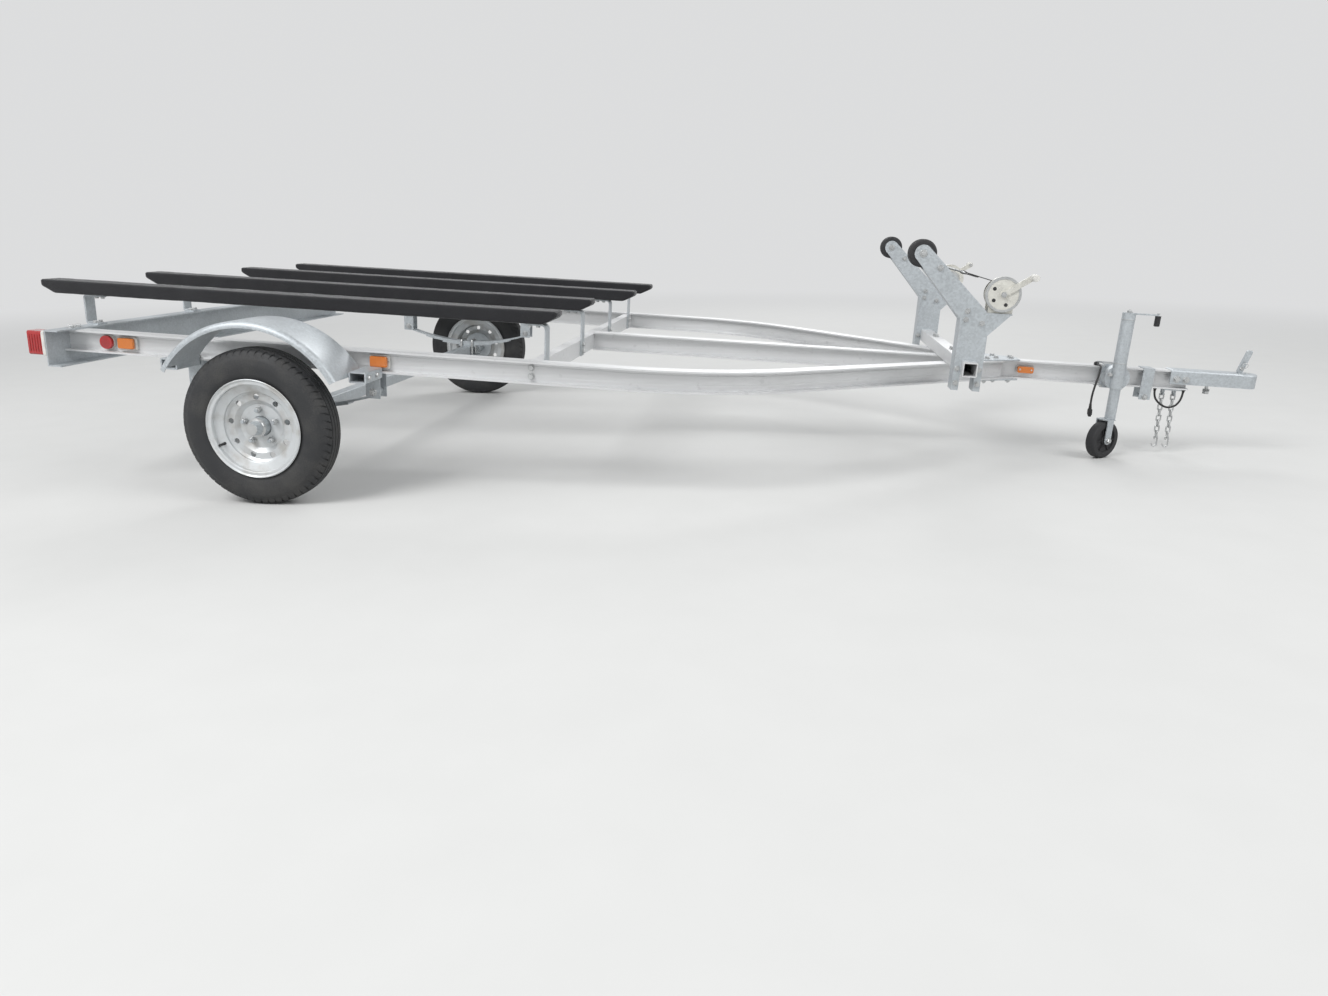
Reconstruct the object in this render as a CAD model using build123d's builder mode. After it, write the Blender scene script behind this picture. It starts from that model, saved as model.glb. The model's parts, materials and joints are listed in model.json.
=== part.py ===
from build123d import *
import os
from math import asin, atan2, cos, degrees, pi, radians, sin, tan

# Double watercraft trailer with an aluminium I-beam frame, parked on its jack.
# +X towards the coupler, +Y to the left, +Z up. The chassis is drawn level with X = 0 at the
# axle, then tipped about the axle line as it stands on its jack, and everything is shifted
# along X so that the origin lies on the ground under the middle of the overall length.

# stance
nose_down = 3.0

# road wheel: 4.80-12 tyre on a 12 x 4 steel wheel
track = 2300
tyre_od = 534
tyre_w = 122
tyre_wall = 9
tread_band = 14
tread_drop = 8
tyre_mid_r = 208
tyre_bead_w = 100
bead_w = 14
bead_lift = 8
flange_step = 6
well_half = 28
well_slope = 10
rim_flange_d = 337
rim_seat_d = 306
rim_well_d = 250
rim_w = 118
rim_sheet = 4
disc_sheet = 5
disc_dish = 12
pilot_d = 70
lug_circle = 114.3
lug_count = 5
lug_hole_d = 15
vent_circle = 205
vent_count = 9
vent_d = 20

# hub and axle
hub_flange_d = 150
hub_flange_t = 10
hub_barrel_d = 66
hub_inboard = 66
hub_outboard = 34
cap_d = 50
cap_len = 34
cap_taper = 5
stud_d = 12
stud_len = 30
spindle_d = 30
bore_gap = 0.1
axle_box = 45
axle_wall = 4
shoulder_d = 52
shoulder_len = 30
seal_gap = 3
spindle_end_gap = 8

# frame
rail_top = 525
rail_h = 76
rail_flange = 64
flange_t = 6
web_t = 5
rib_h = 1.5
rib_w = 8
wheel_gap = 89
bend_start = 1200
bend_radius = 870
bend_angle = 40
rear_end = -830
channel_h = 127
channel_flange = 52
channel_t = 5
channel_half = 1085
front_cross_x = 870
cross_flange = 38
cross_t = 5
tongue_rear = 1700
tongue_front = 3380
tongue_w = 64
centre_beam_front = 2300
seat_fit = 0.3

# suspension
spring_half = 330
spring_w = 45
leaf_t = 7
leaf_count = 3
leaf_step = 95
spring_camber = 54
spring_pad = 6
eye_d = 34
eye_bore = 15
hanger_t = 5
hanger_len = 52
hanger_side_gap = 1
hanger_below = 22
pin_gap = 0.4

# fenders
fender_r = 358
fender_t = 3
fender_w = 205
fender_lip = 22
fender_low = 31
fender_inner_gap = 24
fender_shoulder = 18
step_reach = 130
step_w = 60
step_h = 38
step_t = 5

# bunks
bunk_top = 687
bunk_h = 48
bunk_w = 100
bunk_len = 1925
bunk_round = 8
bunk_bevel_len = 48
bunk_bevel_h = 24
bunk_bracket_w = 50
bunk_bracket_t = 6
bunk_pad_len = 70
bunk_foot_len = 46
bunk_lap = 50

# name, centre line Y, rear end X
bunk_table = (
    ("bunk_right_outer", -850, -975),
    ("bunk_right_inner", -270, -975),
    ("bunk_left_inner", 330, -900),
    ("bunk_left_outer", 850, -900),
)

# winch stands
stand_y = 560
stand_x = 2395
bar_box = 51
bar_wall = 4
bar_half = 640
stand_w = 76
stand_t = 5
stand_low = 470
post_half = 50
knee_x = 2430
knee_z = 770
knee_drop = 50
arm_half = 30
roller_x = 2190
roller_z = 940
roller_d = 96
roller_w = 66
roller_gap = 6
roller_pin_d = 14
winch_x = 2478
winch_z = 816
winch_seat = 66
winch_cheek_d = 108
winch_w = 58
winch_plate = 4
winch_seat_half = 42
drum_d = 44
gear_d = 122
gear_t = 16
crank_len = 110
crank_w = 20
crank_t = 6
crank_turn = 35
knob_len = 40
roller_round = 8

# coupler
coupler_rear = 3300
coupler_tip = 3640
coupler_w = 78
coupler_t = 5
coupler_low = 472
coupler_round = 10
ball_d = 51
ball_x = 3596
latch_x = 3560
latch_lean = 26
latch_h = 92
latch_w = 22
latch_t = 12

# jack
jack_x = 3078
jack_y = -92
jack_tube_d = 50
jack_leg_d = 41
jack_wall = 3
jack_top = 742
jack_bottom = 445
jack_slide_gap = 0.6
jack_fork_z = 334
caster_d = 152
caster_w = 40
caster_trail = 26
caster_turn = 35
caster_edge = 8
caster_pin_d = 12
fork_t = 4
fork_gap = 5
fork_w = 34
leg_len = 298
pivot_z = 487
pivot_d = 26
bracket_t = 6
bracket_d = 96
pivot_gap = 0.4

# lights
light_w = 60
light_h = 84
light_t = 66
marker_w = 64
marker_h = 26
marker_t = 24
marker_x = 2735
light_round = 8

# derived levels
axle_z = tyre_od / 2
wheel_y = track / 2
rail_outer = wheel_y - tyre_w / 2 - wheel_gap
rail_y = rail_outer - rail_flange / 2
rail_bottom = rail_top - rail_h
tip = radians(nose_down)
stance = Location((0, 0, axle_z)) * Location((0, 0, 0), (0, nose_down, 0)) * Location((0, 0, -axle_z))


def beam_outline(height, flange, plate, web):
    """Outline points of an I-section about its centre."""
    h, f, w, t = height / 2, flange / 2, web / 2, plate
    return [
        (-f, h), (f, h), (f, h - t), (w, h - t), (w, t - h), (f, t - h), (f, -h),
        (-f, -h), (-f, t - h), (-w, t - h), (-w, h - t), (-f, h - t),
    ]


os.makedirs("parts", exist_ok=True)

# Frame rails: I-beam, straight past the wheels, then bent in to meet the tongue.
bend = radians(bend_angle)
bend_end = (bend_start + bend_radius * sin(bend), -rail_y + bend_radius * (1 - cos(bend)))
reach = (-bend_end[1]) / sin(bend)
with BuildPart() as rail_right:
    with BuildLine() as rail_path:
        straight = Line((rear_end + channel_t, -rail_y), (bend_start, -rail_y))
        arc = TangentArc(straight @ 1, bend_end, tangent=(1, 0))
        Line(arc @ 1, (arc @ 1) + (arc % 1) * reach)
    with BuildSketch(Plane(origin=(rear_end + channel_t, -rail_y, rail_top - rail_h / 2),
                           x_dir=(0, 1, 0), z_dir=(1, 0, 0))):
        with BuildLine():
            Polyline(*beam_outline(rail_h, rail_flange, flange_t, web_t), close=True)
        make_face()
        with Locations((web_t / 2, rail_h / 5), (web_t / 2, -rail_h / 5),
                       (-web_t / 2, rail_h / 5), (-web_t / 2, -rail_h / 5)):
            Rectangle(2 * rib_h, rib_w)
    sweep(path=rail_path.line.moved(Location((0, 0, rail_top - rail_h / 2))))
    split(bisect_by=Plane(origin=(0, -tongue_w / 2, 0), z_dir=(0, 1, 0)), keep=Keep.BOTTOM)
with BuildPart() as rail_left:
    mirror(rail_right.part, about=Plane.XZ)

# Tongue: the same I-beam, set between the two rails and running on to the coupler.
with BuildPart() as tongue:
    with BuildSketch(Plane(origin=(tongue_rear, 0, rail_top - rail_h / 2),
                           x_dir=(0, 1, 0), z_dir=(1, 0, 0))):
        with BuildLine():
            Polyline(*beam_outline(rail_h, tongue_w, flange_t, web_t), close=True)
        make_face()
    extrude(amount=tongue_front - tongue_rear)

# Centre beam from the front crossmember to the tongue, which it overlaps side by side below.
with BuildPart() as centre_beam:
    with BuildSketch(Plane(origin=(front_cross_x + cross_flange, 0, rail_top - rail_h / 2),
                           x_dir=(0, 1, 0), z_dir=(1, 0, 0))):
        with BuildLine():
            Polyline(*beam_outline(rail_h, tongue_w, flange_t, web_t), close=True)
        make_face()
    extrude(amount=tongue_rear - front_cross_x - cross_flange)

# Rear crossmember: a deep channel, open to the front, that carries the lights at its ends.
with BuildPart() as crossmember_rear:
    with BuildSketch(Plane.XZ):
        with BuildLine():
            Polyline(
                (rear_end, rail_top + channel_t), (rear_end + channel_flange, rail_top + channel_t),
                (rear_end + channel_flange, rail_top), (rear_end + channel_t, rail_top),
                (rear_end + channel_t, rail_top + 2 * channel_t - channel_h),
                (rear_end + channel_flange, rail_top + 2 * channel_t - channel_h),
                (rear_end + channel_flange, rail_top + channel_t - channel_h),
                (rear_end, rail_top + channel_t - channel_h), close=True,
            )
        make_face()
    extrude(amount=channel_half, both=True)

# Front crossmember: a channel between the webs of the rails.
cross_top = rail_top - flange_t - seat_fit
cross_low = rail_bottom + flange_t + seat_fit
cross_half = rail_y - web_t / 2 - rib_h
with BuildPart() as crossmember_front:
    with BuildSketch(Plane.XZ):
        with BuildLine():
            Polyline(
                (front_cross_x + cross_flange, cross_top), (front_cross_x, cross_top),
                (front_cross_x, cross_top - cross_t), (front_cross_x + cross_flange - cross_t, cross_top - cross_t),
                (front_cross_x + cross_flange - cross_t, cross_low + cross_t),
                (front_cross_x, cross_low + cross_t), (front_cross_x, cross_low),
                (front_cross_x + cross_flange, cross_low), close=True,
            )
        make_face()
    extrude(amount=cross_half, both=True)

# Crossbar on top of the frame that carries the two winch stands.
with BuildPart() as stand_crossbar:
    with BuildSketch(Plane.XZ):
        with Locations((stand_x, rail_top + bar_box / 2)):
            RectangleRounded(bar_box, bar_box, bar_wall)
            Rectangle(bar_box - 2 * bar_wall, bar_box - 2 * bar_wall, mode=Mode.SUBTRACT)
    extrude(amount=bar_half, both=True)

# Axle: a square tube with a shoulder and a spindle at each end.
shoulder_y = wheel_y - hub_flange_t - hub_inboard - seal_gap
spindle_len = hub_inboard + hub_flange_t + hub_outboard + seal_gap - spindle_end_gap
with BuildPart() as axle_beam:
    with BuildSketch(Plane.XZ):
        with Locations((0, axle_z)):
            RectangleRounded(axle_box, axle_box, axle_wall)
            Rectangle(axle_box - 2 * axle_wall, axle_box - 2 * axle_wall, mode=Mode.SUBTRACT)
    extrude(amount=shoulder_y - shoulder_len, both=True)
    for side in (-1, 1):
        with BuildSketch(Plane(origin=(0, side * (shoulder_y - shoulder_len), axle_z), x_dir=(1, 0, 0),
                               z_dir=(0, side, 0))):
            Circle(shoulder_d / 2)
        extrude(amount=shoulder_len)
        with BuildSketch(Plane(origin=(0, side * shoulder_y, axle_z), x_dir=(1, 0, 0),
                               z_dir=(0, side, 0))):
            Circle(spindle_d / 2)
        extrude(amount=spindle_len)

# Leaf springs under the rails, on top of the axle.
leaf_mid = axle_z + axle_box / 2 + spring_pad + (leaf_count - 0.5) * leaf_t
leaf_r = (spring_half ** 2 + spring_camber ** 2) / (2 * spring_camber)
arc_z = leaf_mid + leaf_r
eye_z = leaf_mid + spring_camber + (eye_d - leaf_t) / 2
with BuildPart() as spring_right:
    with BuildSketch(Plane.XZ.offset(rail_y)):
        for row in range(leaf_count):
            low_r = leaf_r + (row + 0.5) * leaf_t
            half_turn = degrees(asin((spring_half - row * leaf_step) / low_r))
            with BuildLine():
                low = CenterArc((0, arc_z), low_r, -90 - half_turn, 2 * half_turn)
                high = CenterArc((0, arc_z), low_r - leaf_t, -90 - half_turn, 2 * half_turn)
                Line(low @ 0, high @ 0)
                Line(low @ 1, high @ 1)
            make_face()
        with Locations((-spring_half, eye_z), (spring_half, eye_z)):
            Circle(eye_d / 2)
            Circle(eye_bore / 2, mode=Mode.SUBTRACT)
        with Locations((0, axle_z + axle_box / 2)):
            Rectangle(leaf_step, spring_pad + leaf_t / 2, align=(Align.CENTER, Align.MIN))
    extrude(amount=spring_w / 2, both=True)
with BuildPart() as spring_left:
    mirror(spring_right.part, about=Plane.XZ)

# Spring hangers: inverted channels under the rail, each with its eye pin.
hanger_w = spring_w + 2 * (hanger_side_gap + hanger_t)
with BuildPart() as spring_hangers_right:
    for x in (-spring_half, spring_half):
        with BuildSketch(Plane(origin=(x, -rail_y, 0), x_dir=(0, 1, 0), z_dir=(1, 0, 0))):
            with Locations((0, rail_bottom)):
                Rectangle(hanger_w, rail_bottom - eye_z + hanger_below, align=(Align.CENTER, Align.MAX))
            with Locations((0, rail_bottom - hanger_t)):
                Rectangle(hanger_w - 2 * hanger_t, rail_bottom, align=(Align.CENTER, Align.MAX),
                          mode=Mode.SUBTRACT)
        extrude(amount=hanger_len / 2, both=True)
        with BuildSketch(Plane.XZ.offset(rail_y)):
            with Locations((x, eye_z)):
                Circle(eye_bore / 2 - pin_gap)
        extrude(amount=hanger_w / 2, both=True)
with BuildPart() as spring_hangers_left:
    mirror(spring_hangers_right.part, about=Plane.XZ)

# Fenders: rolled sheet with a rounded outer shoulder and a lip, on two open box steps each.
fender_in = rail_outer + fender_inner_gap
with BuildPart() as fender_right:
    start = radians(fender_low)
    with BuildSketch(Plane(origin=(0, 0, axle_z), x_dir=(0, -1, 0),
                           z_dir=(-sin(start), 0, cos(start)))):
        with BuildLine():
            crown = FilletPolyline(
                (fender_in, fender_r), (fender_in + fender_w, fender_r),
                (fender_in + fender_w, fender_r - fender_lip), radius=fender_shoulder,
            )
            offset(crown, amount=fender_t, side=Side.RIGHT)
        make_face()
    revolve(axis=Axis((0, 0, axle_z), (0, 1, 0)), revolution_arc=-(180 - 2 * fender_low))
with BuildPart() as fender_left:
    mirror(fender_right.part, about=Plane.XZ)

step_x = fender_r * cos(radians(fender_low)) + seat_fit
step_z = axle_z + fender_r * sin(radians(fender_low))
with BuildPart() as fender_steps_right:
    with BuildSketch(Plane.XZ.offset(rail_outer)):
        with Locations((step_x + step_w / 2, step_z), (-step_x - step_w / 2, step_z)):
            RectangleRounded(step_w, step_h, step_t)
            Rectangle(step_w - 2 * step_t, step_h - 2 * step_t, mode=Mode.SUBTRACT)
    extrude(amount=step_reach)
with BuildPart() as fender_steps_left:
    mirror(fender_steps_right.part, about=Plane.XZ)

# Bunks: carpeted boards lying flat, with bevelled lower ends.
bunks = []
for name, y, rear in bunk_table:
    with BuildPart() as bunk:
        with BuildSketch(Plane.XZ.offset(-y)):
            with BuildLine():
                Polyline(
                    (rear, bunk_top), (rear + bunk_len, bunk_top),
                    (rear + bunk_len, bunk_top - bunk_h + bunk_bevel_h),
                    (rear + bunk_len - bunk_bevel_len, bunk_top - bunk_h),
                    (rear + bunk_bevel_len, bunk_top - bunk_h),
                    (rear, bunk_top - bunk_h + bunk_bevel_h), close=True,
                )
            make_face()
        extrude(amount=bunk_w / 2, both=True)
        fillet(bunk.edges().filter_by(Axis.X), bunk_round)
    bunks.append((name, bunk))

# Bunk brackets: bent plates that stand on the crossmembers and hold the bunks from below.
pad_top = bunk_top - bunk_h - seat_fit
foot_z = rail_top + channel_t
with BuildPart() as bunk_brackets_rear:
    for name, y, rear in bunk_table:
        with BuildSketch(Plane.XZ.offset(-y)):
            with BuildLine():
                bent = FilletPolyline(
                    (rear_end + bunk_foot_len, foot_z), (rear_end, foot_z),
                    (rear_end, pad_top), (rear_end + bunk_pad_len, pad_top), radius=2 * bunk_bracket_t,
                )
                offset(bent, amount=bunk_bracket_t, side=Side.RIGHT)
            make_face()
        extrude(amount=bunk_bracket_w / 2, both=True)
front_face = front_cross_x + cross_flange
with BuildPart() as bunk_brackets_front:
    for name, y, rear in bunk_table:
        with BuildSketch(Plane.XZ.offset(-y)):
            with BuildLine():
                bent = FilletPolyline(
                    (front_face, cross_low), (front_face, pad_top - bunk_bracket_t),
                    (front_face - bunk_pad_len, pad_top - bunk_bracket_t), radius=2 * bunk_bracket_t,
                )
                offset(bent, amount=bunk_bracket_t, side=Side.RIGHT)
            make_face()
        extrude(amount=bunk_bracket_w / 2, both=True)

# Winch stands: two cheeks astride the crossbar, joined by a web along the rear edge and a base.
arm = atan2(roller_z - knee_z, roller_x - knee_x)
side_x, side_z = sin(arm) * arm_half, -cos(arm) * arm_half
stand_points = (
    (stand_x - post_half, stand_low), (stand_x - post_half, knee_z - knee_drop),
    (roller_x - side_x, roller_z - side_z), (roller_x + side_x, roller_z + side_z),
    (winch_x - winch_seat_half, winch_z - winch_seat), (winch_x + winch_seat_half, winch_z - winch_seat),
    (stand_x + post_half, knee_z - 2 * knee_drop), (stand_x + post_half, stand_low),
)
with BuildPart() as winch_stand_right:
    with BuildSketch(Plane.XZ.offset(stand_y)) as cheek:
        with BuildLine():
            Polyline(*stand_points, close=True)
        make_face()
        with Locations((roller_x, roller_z)):
            Circle(arm_half)
        with Locations((stand_x, rail_top + bar_box + seat_fit)):
            Rectangle(bar_box + 2 * seat_fit, bar_box * 4, align=(Align.CENTER, Align.MAX),
                      mode=Mode.SUBTRACT)
    extrude(amount=stand_w / 2, both=True)
    with BuildSketch(Plane.XZ.offset(stand_y)):
        with BuildLine():
            Polyline(
                (stand_x - post_half + stand_t, rail_top + bar_box + seat_fit + stand_t),
                (stand_x - post_half + stand_t, knee_z - knee_drop + stand_t),
                (roller_x - side_x * 0.5, roller_z - side_z * 0.5),
                (roller_x - 2 * roller_d, roller_z - side_z * 0.5),
                (roller_x - 2 * roller_d, roller_z + 2 * roller_d),
                (winch_x + 2 * winch_cheek_d, roller_z + 2 * roller_d),
                (winch_x + 2 * winch_cheek_d, rail_top + bar_box + seat_fit + stand_t), close=True,
            )
        make_face()
        with Locations((roller_x, roller_z)):
            Circle(roller_d / 2 + roller_gap)
    extrude(amount=stand_w / 2 - stand_t, both=True, mode=Mode.SUBTRACT)
    with BuildSketch(Plane.XZ.offset(stand_y)):
        with Locations((roller_x, roller_z)):
            Circle(roller_pin_d / 2)
        with Locations((winch_x, winch_z - winch_seat)):
            Rectangle(2 * winch_seat_half, stand_t, align=(Align.CENTER, Align.MAX))
    extrude(amount=stand_w / 2, both=True)
with BuildPart() as winch_stand_left:
    mirror(winch_stand_right.part, about=Plane.XZ)

# Bow rollers: black rubber rollers between the tips of the stand cheeks.
with BuildPart() as bow_roller_right:
    with BuildSketch(Plane.XZ.offset(stand_y)):
        with Locations((roller_x, roller_z)):
            Circle(roller_d / 2)
            Circle(roller_pin_d / 2 + bore_gap, mode=Mode.SUBTRACT)
    extrude(amount=roller_w / 2, both=True)
    fillet(bow_roller_right.edges().filter_by(GeomType.CIRCLE).sort_by(SortBy.RADIUS)[-2:], roller_round)
with BuildPart() as bow_roller_left:
    mirror(bow_roller_right.part, about=Plane.XZ)

# Hand winches: base, two cheeks, drum with its strap, round gear housing and crank.
with BuildPart() as winch_right:
    seat = winch_z - winch_seat + seat_fit
    for y in (-winch_w / 2, winch_w / 2 - winch_plate):
        with BuildSketch(Plane.XZ.offset(stand_y + y)):
            with Locations((winch_x, winch_z)):
                Circle(winch_cheek_d / 2)
            with Locations((winch_x, seat)):
                Rectangle(2 * winch_seat_half, winch_seat, align=(Align.CENTER, Align.MIN))
        extrude(amount=winch_plate)
    with BuildSketch(Plane.XZ.offset(stand_y)):
        with Locations((winch_x, winch_z)):
            Circle(drum_d / 2)
        with Locations((winch_x, seat)):
            Rectangle(2 * winch_seat_half, winch_plate, align=(Align.CENTER, Align.MIN))
    extrude(amount=winch_w / 2, both=True)
    with BuildSketch(Plane.XZ.offset(stand_y + winch_w / 2)):
        with Locations((winch_x, winch_z)):
            Circle(gear_d / 2)
    extrude(amount=gear_t)
    with BuildSketch(Plane.XZ.offset(stand_y + winch_w / 2 + gear_t)):
        with Locations((winch_x, winch_z)):
            Circle(crank_w / 2)
            with Locations(Rotation(0, 0, crank_turn)):
                Rectangle(crank_len, crank_w, align=(Align.MIN, Align.CENTER))
    extrude(amount=crank_t)
with BuildPart() as winch_left:
    mirror(winch_right.part, about=Plane.XZ)

# Coupler: a pressed channel over the end of the tongue that narrows to the ball housing.
coupler_top = rail_top + coupler_t + seat_fit
with BuildPart() as coupler:
    with BuildSketch(Plane.XY.offset(coupler_low)):
        with BuildLine():
            Polyline(
                (coupler_rear, coupler_w / 2), (tongue_front, coupler_w / 2), (ball_x, ball_d * 0.72),
                (ball_x, -ball_d * 0.72), (tongue_front, -coupler_w / 2), (coupler_rear, -coupler_w / 2),
                close=True,
            )
        make_face()
        with Locations((ball_x, 0)):
            Circle(coupler_tip - ball_x)
    extrude(amount=coupler_top - coupler_low)
    fillet(coupler.faces().sort_by(Axis.Z)[-1].edges(), coupler_round)
    with BuildSketch(Plane(origin=(coupler_rear, 0, 0), x_dir=(0, 1, 0), z_dir=(1, 0, 0))):
        with Locations((0, rail_top + seat_fit)):
            Rectangle(tongue_w + 2 * seat_fit, rail_h, align=(Align.CENTER, Align.MAX))
    extrude(amount=tongue_front - coupler_rear + seat_fit, mode=Mode.SUBTRACT)
    with Locations((ball_x, 0, coupler_low + ball_d * 0.3)):
        Sphere(ball_d / 2 + 1, mode=Mode.SUBTRACT)
    with BuildSketch(Plane.XY.offset(coupler_low)):
        with Locations((ball_x, 0)):
            Circle(ball_d / 2 + 1)
    extrude(amount=ball_d * 0.3, mode=Mode.SUBTRACT)
with BuildPart() as coupler_latch:
    with BuildSketch(Plane.XZ):
        with BuildLine():
            FilletPolyline(
                (latch_x, coupler_top), (latch_x + latch_lean, coupler_top + latch_h),
                (latch_x + latch_lean + latch_w, coupler_top + latch_h),
                (latch_x + latch_w, coupler_top), radius=latch_w / 3, close=True,
            )
        make_face()
    extrude(amount=latch_t / 2, both=True)

# Swivel jack on the right side of the tongue: bracket, outer tube, leg, caster fork and wheel.
turn = radians(caster_turn)
caster_x = jack_x - caster_trail * cos(turn)
caster_y = jack_y - caster_trail * sin(turn)
lean = asin(sin(turn) * sin(tip))
caster_drop = (caster_d / 2 - caster_edge) * cos(lean) + (caster_w / 2 - caster_edge) * sin(lean) + caster_edge
caster_z = axle_z + (caster_drop - axle_z + caster_x * sin(tip)) / cos(tip)
fork_top = caster_z + caster_d / 2 + fork_gap + fork_t
leg_low = fork_top + pivot_gap
plate_y = -tongue_w / 2 - bracket_t
with BuildPart() as jack_bracket:
    with BuildSketch(Plane.XZ.offset(tongue_w / 2)):
        with Locations((jack_x, pivot_z)):
            RectangleRounded(bracket_d, bracket_d, bracket_t)
    extrude(amount=bracket_t)
    with BuildSketch(Plane.XZ.offset(-plate_y)):
        with Locations((jack_x, pivot_z)):
            Circle(pivot_d / 2)
    extrude(amount=bracket_t + pivot_gap)
with BuildPart() as jack_tube:
    with BuildSketch(Plane.XY.offset(jack_bottom)):
        with Locations((jack_x, jack_y)):
            Circle(jack_tube_d / 2)
    extrude(amount=jack_top - jack_bottom)
    with BuildSketch(Plane.XZ.offset(-plate_y + pivot_gap)):
        with Locations((jack_x, pivot_z)):
            Circle(bracket_d / 2)
    extrude(amount=-jack_y + plate_y - pivot_gap)
    with BuildSketch(Plane.XZ.offset(-plate_y)):
        with Locations((jack_x, pivot_z)):
            Circle(pivot_d / 2 + pivot_gap)
    extrude(amount=bracket_t + 2 * pivot_gap, mode=Mode.SUBTRACT)
    with BuildSketch(Plane.XY.offset(jack_top - 2 * jack_wall)):
        with Locations((jack_x, jack_y)):
            Circle(jack_leg_d / 2 + jack_slide_gap)
    extrude(amount=-jack_top, mode=Mode.SUBTRACT)
with BuildPart() as jack_crank:
    with BuildSketch(Plane.XY.offset(jack_top)):
        with Locations((jack_x, jack_y)):
            Circle(jack_tube_d / 2)
            Rectangle(crank_len, crank_w, align=(Align.MIN, Align.CENTER))
    extrude(amount=crank_t)
    with BuildSketch(Plane.XY.offset(jack_top)):
        with Locations((jack_x + crank_len, jack_y)):
            Circle(crank_w / 2)
    extrude(amount=-knob_len)
with BuildPart() as jack_leg:
    with BuildSketch(Plane.XY.offset(leg_low)):
        with Locations((jack_x, jack_y)):
            Circle(jack_leg_d / 2)
    extrude(amount=leg_len)
trail_dir = (cos(turn), sin(turn), 0)
caster_axis = (sin(turn), -cos(turn), 0)
side_plane = Plane(origin=(jack_x, jack_y, 0), x_dir=trail_dir, z_dir=caster_axis)
with BuildPart() as caster_fork:
    with BuildSketch(Plane(origin=(jack_x, jack_y, fork_top), x_dir=trail_dir, z_dir=(0, 0, 1))):
        Circle(jack_leg_d / 2)
        Rectangle(caster_trail + fork_w / 2, caster_w + 2 * (fork_gap + fork_t),
                  align=(Align.MAX, Align.CENTER))
    extrude(amount=-fork_t)
    for side in (-1, 1):
        with BuildSketch(side_plane.offset(side * (caster_w / 2 + fork_gap + fork_t / 2))):
            with Locations((-caster_trail, fork_top)):
                Rectangle(fork_w, fork_top - caster_z, align=(Align.CENTER, Align.MAX))
            with Locations((-caster_trail, caster_z)):
                Circle(fork_w / 2)
        extrude(amount=fork_t / 2, both=True)
    with BuildSketch(side_plane):
        with Locations((-caster_trail, caster_z)):
            Circle(caster_pin_d / 2)
    extrude(amount=caster_w / 2 + fork_gap + fork_t, both=True)
with BuildPart() as caster_wheel:
    with BuildSketch(side_plane):
        with Locations((-caster_trail, caster_z)):
            Circle(caster_d / 2)
            Circle(caster_pin_d / 2 + bore_gap, mode=Mode.SUBTRACT)
    extrude(amount=caster_w / 2, both=True)
    fillet(caster_wheel.edges().filter_by(GeomType.CIRCLE).sort_by(SortBy.RADIUS)[-2:], caster_edge)

# Lights: red lamps on the ends of the rear crossmember, amber markers beside the stands.
with BuildPart() as tail_lights:
    for y in (-1, 1):
        with BuildSketch(Plane(origin=(rear_end, y * (channel_half - light_w / 2), 0),
                               x_dir=(0, -1, 0), z_dir=(-1, 0, 0))):
            with Locations((0, rail_top - light_h / 2)):
                RectangleRounded(light_w, light_h, light_round)
        extrude(amount=light_t)
with BuildPart() as side_markers:
    for y in (-1, 1):
        with BuildSketch(Plane.XZ.offset(-y * web_t / 2)):
            with Locations((marker_x, rail_top - rail_h / 2)):
                RectangleRounded(marker_w, marker_h, marker_h / 4)
        extrude(amount=-y * marker_t)

# Road wheels: tyre, steel rim with its disc, and hub.
with BuildPart() as tyre_right:
    with BuildSketch(Plane(origin=(0, -wheel_y, axle_z), x_dir=(0, 1, 0), z_dir=(1, 0, 0))):
        with BuildLine():
            tread = Polyline(
                (-tyre_w * 0.36, tyre_od / 2 - tread_drop), (-tyre_w * 0.2, tyre_od / 2),
                (tyre_w * 0.2, tyre_od / 2), (tyre_w * 0.36, tyre_od / 2 - tread_drop),
            )
            right = ThreePointArc(tread @ 1, (tyre_w / 2, tyre_mid_r), (tyre_bead_w / 2, rim_seat_d / 2 + bead_lift))
            seat_r = Line(right @ 1, (tyre_bead_w / 2, rim_seat_d / 2 + seat_fit))
            seat_r2 = Line(seat_r @ 1, (tyre_bead_w / 2 - bead_w, rim_seat_d / 2 + seat_fit))
            inside_r = Line(seat_r2 @ 1, (tyre_w / 2 - tyre_wall, tyre_mid_r))
            crown_r = Line(inside_r @ 1, (tyre_w * 0.3, tyre_od / 2 - tread_band))
            crown = Line(crown_r @ 1, (-tyre_w * 0.3, tyre_od / 2 - tread_band))
            crown_l = Line(crown @ 1, (-tyre_w / 2 + tyre_wall, tyre_mid_r))
            inside_l = Line(crown_l @ 1, (bead_w - tyre_bead_w / 2, rim_seat_d / 2 + seat_fit))
            seat_l = Line(inside_l @ 1, (-tyre_bead_w / 2, rim_seat_d / 2 + seat_fit))
            seat_l2 = Line(seat_l @ 1, (-tyre_bead_w / 2, rim_seat_d / 2 + bead_lift))
            ThreePointArc(seat_l2 @ 1, (-tyre_w / 2, tyre_mid_r), tread @ 0)
        make_face()
    revolve(axis=Axis((0, 0, axle_z), (0, 1, 0)))
with BuildPart() as tyre_left:
    mirror(tyre_right.part, about=Plane.XZ)

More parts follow.
